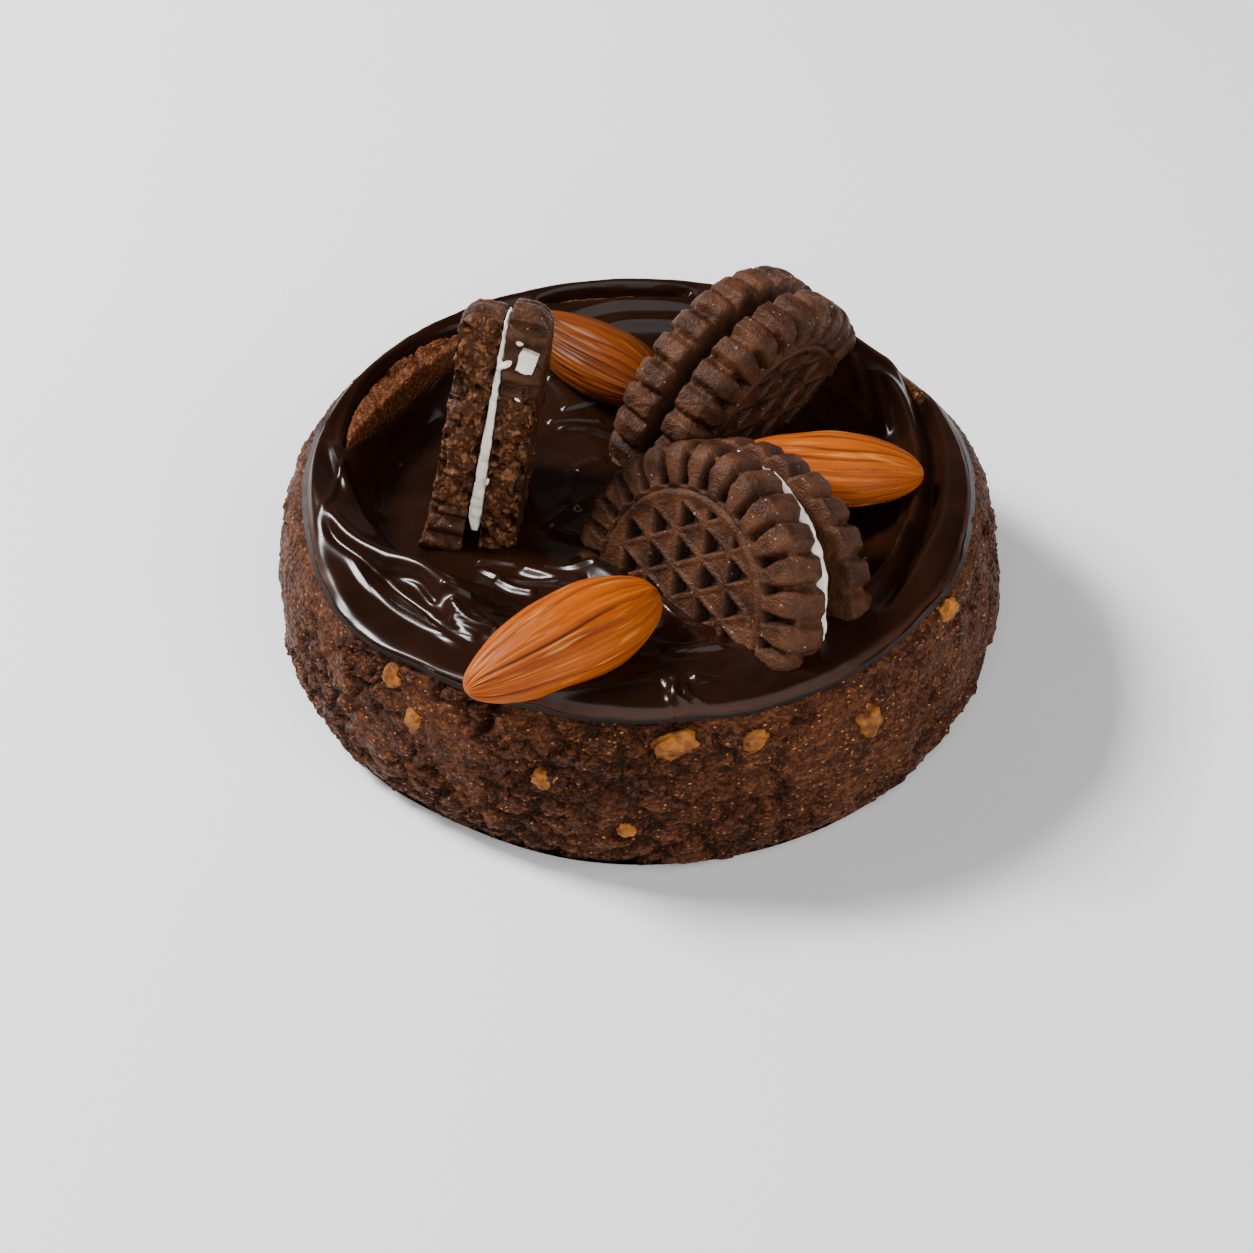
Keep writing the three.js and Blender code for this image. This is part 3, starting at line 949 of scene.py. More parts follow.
        # painted shade: the crevices, fissures and holes are darkened, and below, the gaps round the nuts and
        # the cracks
        hollow = 0.9 * crevice + 0.4 * fissure * loose + hole
        for nut in self.nuts:
            aside = (bearing - nut.bearing) * math.radians(1) * BULGE_RADIUS / (nut.wide / 2)
            gap = bell((np.hypot(aside, (height - nut.height) / (nut.tall / 2)) - 1.1) / 0.2)
            relief -= self.nut_gap * gap
            hollow = np.maximum(hollow, 0.5 * gap)
        for crack in self.cracks:
            depth = self.crack_depth(crack, bearing, height)
            relief -= crack.depth * depth
            hollow = np.maximum(hollow, depth)
        return relief, np.clip(hollow, 0, 1), loose

    @staticmethod
    def crack_depth(crack: Crack, bearing: np.ndarray, height: np.ndarray) -> np.ndarray:
        """Share of a crack's depth at each place.

        Args:
            crack: The crack.
            bearing: Bearing of each place in degrees.
            height: Height of each place in mm.

        Returns:
            A share from 0 to 1 for each place.
        """
        arc = math.radians(1) * BULGE_RADIUS
        line = spline(crack.nodes, 12)
        gap = np.full(bearing.shape, np.inf)
        for (start, low), (end, high) in pairwise(line):
            along, rise = (end - start) * arc, high - low
            across, up = (bearing - start) * arc, height - low
            share = np.clip((across * along + up * rise) / (along**2 + rise**2), 0, 1)
            gap = np.minimum(gap, np.hypot(across - share * along, up - share * rise))
        return bell(gap / crack.half_width)

    def build(self) -> Mesh:
        """Make the base's mesh.

        Returns:
            The mesh in mm.
        """
        mesh = to_mesh(turned(self.profile(), self.round_steps, (0, 0, 1)), "cookie_crust")
        points = mesh_points(mesh)
        radius = np.hypot(points[:, 0], points[:, 1])
        bearing = bearing_of(points)
        height = points[:, 2].copy()
        top = smoothstep(height, *self.top_span)
        side = (radius > self.side_from) * (height > 0)
        relief, hollow, loose = self.side_relief(points)
        bare, shown = np.zeros_like(radius), np.zeros_like(radius)
        for crescent in CRESCENTS:
            share = smoothstep(crescent.depth_inside(radius, bearing), *self.bare_blend)
            bare = np.maximum(bare, share * np.clip(crescent.level - height, 0.0, self.bare_lift))
            shown = np.maximum(shown, share)
        bare *= height > self.hollow_floor + 2
        rough_top = smoothstep(bare, 0.0, 0.3) * (self.bare_relief * relief)
        outward = radius + outline_shift(bearing) * radius / BULGE_RADIUS + side * (1 - 0.4 * top) * relief
        scale = np.divide(outward, radius, out=np.ones_like(radius), where=radius > 0)
        points[:, :2] *= scale[:, None]
        room = undercut(radius) * (1 - shown) * (height > self.hollow_floor - 0.1)
        points[:, 2] = sunk(height, bearing) + bare + rough_top - room
        lowest = np.clip(0.4 * relief, -0.2, 0.6) * (height > 0) * (height < 1.0)
        points[:, 2] = np.maximum(points[:, 2] + lowest, 0.0)
        move_points(mesh, points)
        # painted shade in the hollows of the side, and at a lower share on the bare crust
        add_attribute(mesh, "hollow", hollow * np.maximum(side, 0.4 * (bare > 0.02)))
        # the bare crust counts as very loose, which makes it paler: partly painted light on the bare patches
        add_attribute(mesh, "loose", np.maximum(loose, 2 * (bare > 0.1)))
        return mesh

    def flank_radius(self, height: float) -> float:
        """Radius of the smooth side at a height in mm."""
        line = spline(self.flank, self.flank_steps)
        return float(np.interp(height, line[:, 1], line[:, 0]))

    def build_nuts(self) -> Mesh:
        """Make all the chopped nut pieces as one mesh.

        Returns:
            The mesh in mm.
        """
        bm = bmesh.new()
        for nut in self.nuts:
            turn = math.radians(nut.bearing)
            shift = float(outline_shift(np.array([nut.bearing], float))[0])
            radius = self.flank_radius(nut.height) + shift - self.nut_sunk * nut.deep
            place = Vector((radius * math.cos(turn), radius * math.sin(turn), nut.height))
            matrix = Matrix.Translation(place) @ Matrix.Rotation(turn, 4, "Z")
            made = bmesh.ops.create_icosphere(bm, subdivisions=4, radius=0.5)["verts"]
            for vert in made:
                lump = noise.fractal(vert.co * 2.6 + Vector((nut.bearing, 0, 0)), 1.0, 2.0, 3)
                cut = noise.voronoi(vert.co * 1.7 + Vector((0, nut.bearing, 0)))[0][0]
                vert.co *= 1.0 + self.nut_lumps * lump + self.nut_facets * (cut - 0.4)
            bmesh.ops.scale(bm, vec=(nut.deep, nut.wide, nut.tall), verts=made)
            bmesh.ops.transform(bm, matrix=matrix, verts=made)
        return to_mesh(bm, "nut_pieces")


# The ganache


@dataclass(frozen=True)
class Fold:
    """A fold that the knife left: nodes of x, y and height, and the half width on each side.

    Inner is the side on the left of the way the nodes run.
    """

    nodes: tuple[Point, ...]
    inner: float
    outer: float
    taper: float = 0.25

    def height(self, x: np.ndarray, y: np.ndarray) -> np.ndarray:
        """How much the fold lifts each place.

        Args:
            x: First coordinate of each place.
            y: Second coordinate of each place.

        Returns:
            The lift in mm.
        """
        line = spline(self.nodes, 12 * len(self.nodes))
        share = np.linspace(0, 1, len(line))
        line[:, 2] *= smoothstep(share, 0, self.taper) * (1 - smoothstep(share, 1 - self.taper, 1))
        reach = 3 * max(self.inner, self.outer)
        low, high = line.min(0) - reach, line.max(0) + reach
        close = (x > low[0]) & (x < high[0]) & (y > low[1]) & (y < high[1])
        px, py = x[close], y[close]
        best = np.full(px.shape, np.inf)
        lift = np.zeros(px.shape)
        for (x0, y0, h0), (x1, y1, h1) in pairwise(line):
            dx, dy = x1 - x0, y1 - y0
            share = np.clip(((px - x0) * dx + (py - y0) * dy) / (dx * dx + dy * dy), 0, 1)
            ox, oy = px - x0 - share * dx, py - y0 - share * dy
            gap = np.hypot(ox, oy)
            width = np.where(dx * oy - dy * ox > 0, self.inner, self.outer)
            nearer = gap < best
            best = np.where(nearer, gap, best)
            lift = np.where(nearer, (h0 + (h1 - h0) * share) * bell(gap / width), lift)
        total = np.zeros_like(x)
        total[close] = lift
        return total


@dataclass(frozen=True)
class Mound:
    """A bank of ganache: its middle, half widths and height."""

    x: float
    y: float
    half_x: float
    half_y: float
    height: float


def ripple(height: float, half_width: float, *nodes: tuple[float, float]) -> Fold:
    """Make a fold of even height and width.

    Args:
        height: Its height in mm, negative for a crease.
        half_width: Half its width in mm.
        nodes: Its nodes of x and y.

    Returns:
        The fold.
    """
    return Fold(tuple((x, y, height) for x, y in nodes), half_width, half_width, 0.16)


@dataclass
class Ganache:
    """The ganache spread in the hollow, with the knife's folds, ripples and curls."""

    well_level: float = 19.8
    ring_level: float = 25.9
    well_edge: float = 26.6
    ring_radius: float = 38.0
    edge: float = 41.2
    # shifts of the well's edge, the ring and the outer edge: steep at the left, a ledge at the front left
    well_shifts: tuple = (OutlineBump(183, 38, 6.0), OutlineBump(222, 21, -3.5))
    ring_shifts: tuple = (OutlineBump(183, 38, -0.8), OutlineBump(222, 21, -4.5))
    edge_shifts: tuple = (OutlineBump(226, 24, 1.7), OutlineBump(262, 30, 1.5), OutlineBump(300, 30, 1.3))
    glossy_edge: tuple = (OutlineBump(224, 22, 1.0),)
    lip: tuple = ((-0.5, -0.46), (-0.1, -0.42), (0.1, -0.28), (0.1, -0.1), (0.0, 0.0))
    lip_drop: float = 0.85
    wide_drop: float = 0.45
    lip_power: int = 9
    sink_span: Span = (32.0, 37.5)
    fold_loss: float = 0.7
    bead: float = 0.3
    bead_place: float = -0.7
    bead_half: float = 0.5
    bare_drop: float = 2.4
    bare_edge: Span = (-0.45, 0.35)
    wander: float = 0.35
    wander_mm: float = 9.0
    spread_from: float = 35.0
    uneven: float = 0.12
    uneven_mm: float = 5.0
    dull_from: float = 0.7
    dull_to: float = 0.1
    gap: float = 0.35
    round_steps: int = 640
    top_step: float = 0.29
    middle: float = 14.0
    middle_step: float = 0.6
    mounds: tuple = (Mound(-2, -26, 24, 14, 3.0), Mound(-7, 26, 13, 7, 2.6))
    folds: tuple = (
        # the rope round the back and left, that runs inwards at the front left, and the crease outside it
        Fold(
            (
                (39.2, 10.5, 0.2), (31.5, 26.0, 1.2), (20.4, 35.3, 1.6), (-3.6, 40.7, 1.6),
                (-26.2, 31.2, 1.6), (-38.3, 14.0, 1.3), (-40.6, 3.0, 1.0), (-40.2, -2.2, 1.1),
                (-39.2, -6.4, 1.25), (-37.6, -9.8, 1.4), (-35.6, -12.6, 1.5), (-33.0, -15.4, 1.55),
                (-30.0, -17.8, 1.6), (-27.2, -19.4, 1.6), (-24.6, -21.0, 1.5), (-22.2, -22.4, 1.4),
                (-19.6, -23.4, 1.3), (-17.0, -23.4, 1.0), (-14.0, -23.0, 0.6),
            ),
            1.6, 1.9, 0.1,
        ),
        ripple(
            0.9, 0.8, (-38.6, 5.0), (-38.0, 2.3), (-36.7, -1.6), (-34.6, -6.0), (-33.0, -9.2), (-31.0, -13.1)
        ),
        ripple(
            -0.8, 0.55, (-38.4, -9.8), (-36.6, -13.4), (-32.2, -17.8), (-28.4, -21.9), (-24.9, -25.7),
            (-20.4, -31.2),
        ),
        ripple(-0.7, 0.5, (-30.8, -18.8), (-28.2, -20.4), (-26.0, -21.8), (-24.6, -23.6), (-23.4, -25.4)),
        # the lower layer's inner edge
        ripple(
            0.45, 0.4, (-34.9, -16.0), (-33.4, -18.8), (-32.0, -20.9), (-30.1, -23.0),
            (-28.4, -25.0), (-26.1, -27.1), (-23.6, -29.2), (-21.6, -31.2), (-19.8, -32.8),
        ),
        # the swirl beside the front almond
        ripple(0.5, 0.35, (-23.4, -23.4), (-21.1, -24.1), (-19.4, -24.8)),
        ripple(0.9, 0.7, (-22.4, -25.0), (-21.1, -27.3), (-19.3, -29.2), (-17.3, -30.1), (-15.9, -30.4)),
        ripple(0.6, 0.4, (-19.7, -26.9), (-18.7, -28.0), (-16.8, -29.5)),
        ripple(0.5, 0.4, (-17.5, -26.3), (-16.0, -26.1), (-14.3, -25.9)),
        ripple(0.5, 0.35, (-22.1, -27.5), (-21.3, -28.8), (-20.3, -30.0), (-18.4, -31.5)),
        # ripples between the left biscuit and the front almond
        ripple(0.5, 0.4, (-19.9, -13.1), (-17.7, -15.2), (-14.4, -16.9), (-11.2, -17.6), (-7.9, -18.3)),
        ripple(0.6, 0.5, (-17.5, -15.9), (-15.3, -18.2), (-12.0, -19.8)),
        ripple(0.9, 0.8, (-14.9, -13.8), (-11.8, -15.7), (-9.5, -17.0), (-6.3, -17.9)),
        ripple(0.4, 0.4, (-12.0, -13.4), (-8.8, -14.3), (-4.7, -15.1)),
        ripple(0.4, 0.4, (-20.1, -11.9), (-17.5, -12.3), (-14.2, -13.4)),
        # ripples and threads between the three biscuits
        ripple(0.4, 0.4, (-12.3, 24.4), (-10.9, 24.8), (-9.3, 25.5)),
        ripple(0.5, 0.4, (-10.3, 18.9), (-7.1, 20.0), (-3.4, 20.7)),
        ripple(0.5, 0.4, (-12.2, 16.9), (-8.7, 17.3), (-4.4, 17.1)),
        ripple(0.6, 0.45, (-11.0, 15.8), (-6.8, 15.6), (-3.9, 14.3), (-1.5, 13.0)),
        ripple(0.4, 0.35, (-5.9, 9.3), (-4.1, 9.6), (-2.1, 9.7)),
        ripple(0.5, 0.4, (-8.1, 6.8), (-6.4, 8.3), (-4.1, 9.3)),
        ripple(0.5, 0.4, (-8.2, 6.8), (-8.5, 3.9), (-9.0, -0.2)),
        ripple(0.7, 0.5, (-8.0, -1.6), (-7.1, -0.1), (-5.8, 1.3)),
        ripple(0.7, 0.5, (-11.5, -5.3), (-10.3, -3.7), (-9.0, -2.1), (-7.8, -0.1)),
        ripple(0.7, 0.6, (-10.7, -5.3), (-9.7, -6.3), (-8.2, -7.3), (-6.4, -7.7), (-4.2, -7.3)),
        ripple(0.5, 0.4, (-6.1, -6.3), (-5.9, -4.0), (-5.4, -2.6), (-4.3, -2.0)),
        # the bank along the front biscuit's foot
        Fold(
            (
                (-9.0, -11.0, 0.0), (-6.2, -14.2, 1.6), (-1.8, -19.5, 2.0), (2.6, -24.8, 1.8),
                (7.4, -30.6, 1.2), (11.5, -35.4, 0.0),
            ),
            2.4, 1.9,
        ),
        # the waves between the front almond and the front biscuit
        Fold(
            ((1.9, -22.4, 0.0), (2.8, -25.0, 0.7), (4.6, -27.3, 0.8), (8.6, -28.3, 0.7), (11.0, -28.4, 0.0)),
            0.8, 0.45,
        ),
        Fold(
            ((1.8, -30.2, 0.0), (3.2, -32.5, 0.8), (5.9, -33.0, 0.8), (9.0, -32.8, 0.6), (11.0, -32.2, 0.0)),
            1.2, 0.4,
        ),
        # the curl at the front and the lines that lead into it
        Fold(
            (
                (1.6, -38.2, 0.0), (3.0, -38.3, 1.1), (3.9, -39.3, 1.5), (3.7, -40.5, 1.5), (4.1, -41.5, 1.3),
                (5.6, -42.2, 0.9), (7.6, -42.2, 0.0),
            ),
            0.55, 0.6,
        ),
        Fold(
            ((5.2, -38.0, 0.0), (4.9, -39.4, 0.9), (5.2, -40.6, 1.0), (6.3, -41.2, 0.7), (7.6, -41.2, 0.0)),
            0.4, 0.45,
        ),
        ripple(0.5, 0.6, (-13.5, -40.6), (-7.4, -40.2), (-2.0, -38.6), (2.8, -37.4)),
        ripple(0.35, 0.4, (-13.2, -41.3), (-11.1, -41.9), (-9.1, -42.2)),
        Fold(((5.6, -36.6, 0.0), (6.2, -37.8, 0.7), (7.4, -38.2, 0.5), (11.0, -38.2, 0.0)), 0.5, 0.4),
        # the crease and the ridges on the right
        ripple(
            -2.2, 0.95, (34.0, 24.0), (35.4, 20.6), (36.8, 12.3), (37.2, 3.7), (35.9, -6.8), (34.0, -12.6),
            (30.2, -20.9), (27.4, -27.5),
        ),
        ripple(
            1.0, 0.8, (30.2, 23.0), (32.9, 17.8), (34.2, 12.9), (34.9, 5.3), (34.6, -1.6), (33.6, -7.2),
            (32.0, -11.8), (29.6, -17.2), (26.2, -21.6),
        ),
        ripple(0.6, 0.5, (30.5, 21.4), (31.0, 18.0), (31.6, 13.8), (32.0, 9.0)),
        ripple(0.7, 0.4, (33.6, -2.9), (32.3, -5.9), (32.0, -8.8), (32.2, -11.7), (30.6, -14.6)),
        ripple(0.6, 0.5, (23.3, 22.8), (27.1, 18.1), (30.0, 13.2)),
        ripple(0.6, 0.5, (21.7, 21.5), (24.1, 16.1), (25.7, 13.7)),
        ripple(0.5, 0.5, (28.0, 25.0), (28.8, 21.1), (29.6, 15.4)),
        ripple(0.5, 0.5, (27.1, -13.3), (28.6, -10.0), (29.8, -7.7)),
        # ridges inside the bare crescent and at the back
        ripple(
            0.9, 0.9, (-35.9, 0.6), (-35.2, 6.1), (-33.4, 10.6), (-31.6, 14.6), (-28.4, 19.6), (-22.6, 25.0)
        ),
        ripple(-0.7, 0.7, (-34.2, 2.6), (-33.2, 6.6), (-31.4, 10.8), (-29.4, 14.2), (-26.0, 18.0)),
        ripple(0.4, 0.5, (-33.6, 4.1), (-33.6, 1.7), (-33.0, -0.8), (-32.0, -3.6)),
        ripple(0.5, 0.5, (-31.1, 8.0), (-30.5, 8.6), (-29.8, 9.6), (-28.9, 9.6)),
        Fold(((12.3, 33.8, 0.0), (6.4, 36.3, 0.7), (-3.8, 36.4, 0.8), (-13.5, 33.4, 0.0)), 0.8, 0.7),
        Fold(((13.6, 30.5, 0.0), (5.9, 33.7, 0.6), (-2.4, 33.9, 0.6), (-9.1, 31.7, 0.0)), 0.6, 0.8),
        Fold(((20.0, 36.8, 0.0), (8.0, 41.0, -0.5), (-6.0, 42.4, -0.5), (-18.0, 38.0, 0.0)), 0.7, 0.7),
        # the thin thread across the rope
        Fold(
            (
                (-36.4, 2.6, 0.0), (-37.0, -0.6, 0.45), (-37.6, -4.0, 0.45), (-38.0, -7.2, 0.4),
                (-39.6, -11.6, 0.0),
            ),
            0.3, 0.3,
        ),
    )

    def height(self, x: np.ndarray, y: np.ndarray) -> np.ndarray:
        """Height of the ganache's top.

        Args:
            x: First coordinate of each place.
            y: Second coordinate of each place.

        Returns:
            The height in mm.
        """
        radius = np.hypot(x, y)
        bearing = np.degrees(np.arctan2(y, x)) % 360
        well_edge = self.well_edge + swelling(self.well_shifts, bearing)
        rise = smoothstep(radius, well_edge, self.ring_radius + swelling(self.ring_shifts, bearing))
        level = self.well_level + (self.ring_level - self.well_level) * rise
        wide = swelling(self.edge_shifts, bearing)
        band = np.clip((radius - self.ring_radius) / (self.edge + wide - self.ring_radius), 0, 1)
        level -= (self.lip_drop + self.wide_drop * wide) * band**self.lip_power
        level += (sunk(level, bearing) - level) * smoothstep(radius, *self.sink_span)
        room = np.minimum(1, (self.ring_level - level) / (self.ring_level - self.well_level))
        for mound in self.mounds:
            away = np.hypot((x - mound.x) / mound.half_x, (y - mound.y) / mound.half_y)
            level += mound.height * room * bell(away)
        for fold in self.folds:
            level += fold.height(x, y) * (1 - self.fold_loss * smoothstep(band, 0.8, 1.0))
        for crescent in CRESCENTS:
            inside = crescent.depth_inside(radius, bearing)
            level += self.bead * bell((inside - self.bead_place) / self.bead_half)
            level -= self.bare_drop * smoothstep(inside, *self.bare_edge)
        return level

    def uneven_height(self, places: np.ndarray) -> np.ndarray:
        """Height of the top at some places, with its slight unevenness."""
        waves = fractal(places * (1, 1, 0), self.uneven_mm, 2, 9.4)
        return self.height(*places[:, :2].T) + self.uneven * waves

    def profile(self) -> np.ndarray:
        """Half outline from the middle of the underside over the lip to the middle of the top.

        The lip's points lie about LIP_MARK and the top's at TOP_MARK, so that the build finds them again.

        Returns:
            Its points, one row each.
        """
        base = CookieBase()
        covered = [spline(base.shoulder, 5)[2:], spline(base.inner_rim, 4)[1:], spline(base.hollow, 4)[1:]]
        cover = np.vstack(covered)[::-1] + (0, self.gap)
        lip = spline(self.lip, 10) + (self.edge, LIP_MARK)
        outer = np.linspace(self.edge, self.middle, int((self.edge - self.middle) / self.top_step) + 1)[1:]
        inner = np.linspace(self.middle, 0, int(self.middle / self.middle_step) + 1)[1:]
        top = [(radius, TOP_MARK) for radius in (*outer, *inner)]
        flat = np.vstack([[(0, base.hollow_floor + self.gap)], cover, lip, top])
        return np.stack([flat[:, 0], np.zeros(len(flat)), flat[:, 1]], 1)

    def build(self) -> Mesh:
        """Make the ganache's mesh.

        Returns:
            The mesh in mm.
        """
        mesh = to_mesh(turned(self.profile(), self.round_steps, (0, 0, 1)), "set_ganache")
        points = mesh_points(mesh)
        mark = points[:, 2].copy()
        top, lip = mark > (LIP_MARK + TOP_MARK) / 2, np.abs(mark - LIP_MARK) < 10
        under = ~(top | lip)
        bearing = bearing_of(points)
        radius = np.hypot(points[:, 0], points[:, 1])
        way = np.stack([np.cos(np.radians(bearing)), np.sin(np.radians(bearing)), 0 * bearing], 1)
        beyond = swelling(self.edge_shifts, bearing)
        beyond += self.wander * fractal(way * self.edge, self.wander_mm, 3, 17.2)
        outline = outline_shift(bearing)
        shift = smoothstep(radius, self.spread_from, self.edge) * beyond + outline * radius / BULGE_RADIUS
        points[:, :2] = (way * (radius + shift)[:, None])[:, :2]
        points[top, 2] = self.uneven_height(points[top])
        rim = way * (self.edge + beyond + outline)[:, None]
        points[lip, 2] += self.uneven_height(rim[lip]) - LIP_MARK
        covered = sunk(mark - self.gap, bearing) + self.gap - undercut(radius)
        points[under, 2] = np.minimum(covered[under], self.height(*points[under, :2].T) - self.gap)
        move_points(mesh, points)
        dull = smoothstep(radius, self.edge - self.dull_from, self.edge - self.dull_to)
        dull = np.where(top, dull, lip.astype(float))
        add_attribute(mesh, "edge", dull * (1 - swelling(self.glossy_edge, bearing)))
        return mesh


# The half sandwich biscuits


@dataclass(frozen=True)
class WaferFit:
    """How one wafer sits in its biscuit: thickness, opening angle in degrees, slide on the break and gap."""

    thick: float
    splay: float
    shift: float
    gap: float


@dataclass(frozen=True)
class CreamDab:
    """A dab of cream on the break: its place, length, width, depth and turn in degrees."""

    x: float
    y: float
    z: float
    long: float
    wide: float
    deep: float
    turn: float
    chunk: bool = False


@dataclass
class HalfBiscuit:
    """Half a sandwich biscuit standing on its break: two fluted wafers and the cream between them."""

    name: str
    at: Point
    yaw: float
    lean: float
    spin: float
    sink: float
    cream: float
    near: WaferFit
    far: WaferFit
    flute_turn: float = 0.0
    break_depth: float = 0.5
    seed: float = 0.0
    cream_from: float = -60.0
    ledges_below: float = -60.0
    dabs: tuple = ()
    cream_radius: float = 17.4
    # the moulded rim: flutes round it, and slots between its teeth
    flutes: int = 28
    flute_depth: float = 0.95
    flute_half: float = 1.2
    tooth_foot: float = 13.4
    tooth_top: float = 16.5
    slot_end: float = 17.5
    slot_depth: float = 1.7
    slot_rise: float = 0.7
    # the embossed face, with its ring and its lattice of triangles
    face_drop: float = 0.4
    ring_radius: float = 12.5
    ring_height: float = 0.25
    lattice_radius: float = 11.6
    lattice_side: float = 4.93
    lattice_turn: float = -15.9
    lattice_foot: tuple[float, float] = (-3.69, 8.64)
    lattice_squash: float = 0.826
    pit_depth: float = 1.5
    shallow_depth: float = 0.15
    # sizes of the wafers' unevenness, and the crumbly break with its ledges
    lump_mm: float = 2.4
    crumb_mm: float = 0.9
    grit_mm: float = 0.5
    break_span: Span = (0.1, 0.9)
    chunk_mm: float = 4.0
    chip_mm: float = 2.0
    pore_mm: float = 1.7
    pore_size: float = 0.3
    small_pore_mm: float = 0.9
    small_pore_size: float = 0.18
    ledge_pitch: float = 2.7
    ledge_height: float = 1.2
    # the cream: how ragged its rim and its break are
    rag_mm: float = 3.0
    rim_rag: float = 0.5
    break_rag: float = 0.3
    voxel: float = 0.19
    clearance: float = 0.3
    # shift of the noise that makes the far wafer differ from the near one
    far_seed: float = 50.0

    def spun(self) -> Matrix:
        """Place of the biscuit's own axes: x along the break, y to the round side, z out of the near face.

        Returns:
            The matrix, in mm.
        """
        turn = Matrix.Rotation(math.radians(self.yaw), 4, "Z")
        stand = Matrix.Rotation(math.radians(90 + self.lean), 4, "X")
        return Matrix.Translation(self.at) @ turn @ stand @ Matrix.Rotation(math.radians(self.spin), 4, "Z")

    def wafer_place(self, side: Side) -> Matrix:
        """Place of one wafer's axes: its inner side at z = 0 and its embossed face at z = thick.

        Args:
            side: Which wafer.

        Returns:
            The matrix, in mm.
        """
        fit = self.near if side is Side.NEAR else self.far
        facing = 1 if side is Side.NEAR else -1
        turn = Matrix.Identity(4) if side is Side.NEAR else Matrix.Rotation(math.pi, 4, "Y")
        out = self.cream / 2 + self.clearance / 2 + fit.gap
        slide = Matrix.Translation((facing * fit.shift, 0, out))
        return self.spun() @ turn @ slide @ Matrix.Rotation(math.radians(fit.splay), 4, "Y")

    def wafer_profile(self, thick: float) -> np.ndarray:
        """Half outline of a wafer without its relief.

        Args:
            thick: Its thickness in mm.

        Returns:
            Its points, one row each.
        """
        edge = [(17.9, 0), (18.45, 0.15), (18.6, 0.6), (18.6, thick - 2.3), (18.4, thick - 1.4)]
        shoulder = [(17.8, thick - 0.6), (17.0, thick - 0.12), (16.3, thick), (0, thick)]
        flat = np.array([(0, 0), *edge, *shoulder], float)
        return np.stack([flat[:, 0], np.zeros(len(flat)), flat[:, 1]], 1)

    def lattice_depth(self, x: np.ndarray, y: np.ndarray) -> np.ndarray:
        """Depth of the pressed triangles: every second one a pit, the others shallow.

        Args:
            x: First coordinate of each place on the face.
            y: Second coordinate of each place on the face.

        Returns:
            The depth in mm.
        """
        turn = math.radians(self.lattice_turn)
        row = self.lattice_side * math.sqrt(3) / 2
        to_line = np.full(x.shape, np.inf)
        floors = np.zeros(x.shape)
        for family in range(3):
            lie = turn + math.pi / 2 + family * math.tau / 3
            up = y / self.lattice_squash - self.lattice_foot[1]
            place = (x - self.lattice_foot[0]) * math.cos(lie) + up * math.sin(lie)
            share = place / row - np.floor(place / row)
            floors += np.floor(place / row)
            to_line = np.minimum(to_line, np.minimum(share, 1 - share) * row)
        pit = floors < -1.5
        deep = self.pit_depth * smoothstep(to_line, 0.25, 0.75)
        shallow = self.shallow_depth * smoothstep(to_line, 0.2, 0.5)
        return np.where(pit, deep, shallow)

    def face_depth(self, x: np.ndarray, y: np.ndarray) -> np.ndarray:
        """Depth of the embossed face below its teeth.

        Args:
            x: First coordinate of each place.
            y: Second coordinate of each place.

        Returns:
            The depth in mm.
        """
        radius = np.hypot(x, y)
        inside = 1 - smoothstep(radius, self.tooth_foot - 0.5, self.tooth_foot + 0.1)
        depth = self.face_drop * inside
        depth += self.ring_height * bell((radius - self.tooth_foot + 0.25) / 0.25)
        depth -= self.ring_height * bell((radius - self.ring_radius) / 0.45)
        lattice = 1 - smoothstep(radius, self.lattice_radius - 0.35, self.lattice_radius + 0.35)
        return depth + lattice * self.lattice_depth(x, y)

    def break_parts(
        self, points: np.ndarray, z: np.ndarray, thick: float, seed: float
    ) -> tuple[np.ndarray, np.ndarray, np.ndarray]:
        """Parts of the broken side's relief.

        Args:
            points: Places on the wafer.
            z: Height of each place above the wafer's inner side, before its relief.
            thick: The wafer's thickness.
            seed: Shift of the noise.

        Returns:
            For each place its chunks (about -1 to 1), pores and chipped edges (0 to 1 or a little more).
        """
        chunks = fractal(points, self.chunk_mm, 4, seed + 19)
        away, _, lot = cells(points, self.pore_mm, seed + 3)
        small, _, small_lot = cells(points, self.small_pore_mm, seed + 71)
        pores = np.clip(1.6 - away / self.pore_size, 0, 1) * (lot > 0.5)
        small_pores = np.clip(1.6 - small / self.small_pore_size, 0, 1) * (small_lot > 0.7)
        pores = np.maximum(pores, small_pores)
        edges = bell((z - thick) / 0.9) + bell(z / 0.7)
        chips = edges * smoothstep(fractal(points, self.chip_mm, 3, seed + 43), -0.1, 0.4)
        return chunks, pores, chips

    def build_wafer(self, side: Side) -> Mesh:
        """Make one wafer's mesh in the part's frame.

        Args:
            side: Which wafer.

        Returns:
            The mesh in mm.
        """
        fit = self.near if side is Side.NEAR else self.far
        bm = turned(self.wafer_profile(fit.thick), 4 * self.flutes, (0, 0, 1))
        trim(bm, (0, -self.sink, 0), (0, -1, 0))
        mesh = remeshed(bm, f"{self.name}_{side.value}", self.voxel)
        points = mesh_points(mesh)
        x, y, z = points.T.copy()
        radius = np.hypot(x, y)
        seed = self.seed + (0 if side is Side.NEAR else self.far_seed)
        lumps = fractal(points, self.lump_mm, 3, seed)
        crumb = fractal(points, self.crumb_mm, 2, seed + 7)
        grit = fractal(points, self.grit_mm, 2, seed + 61)
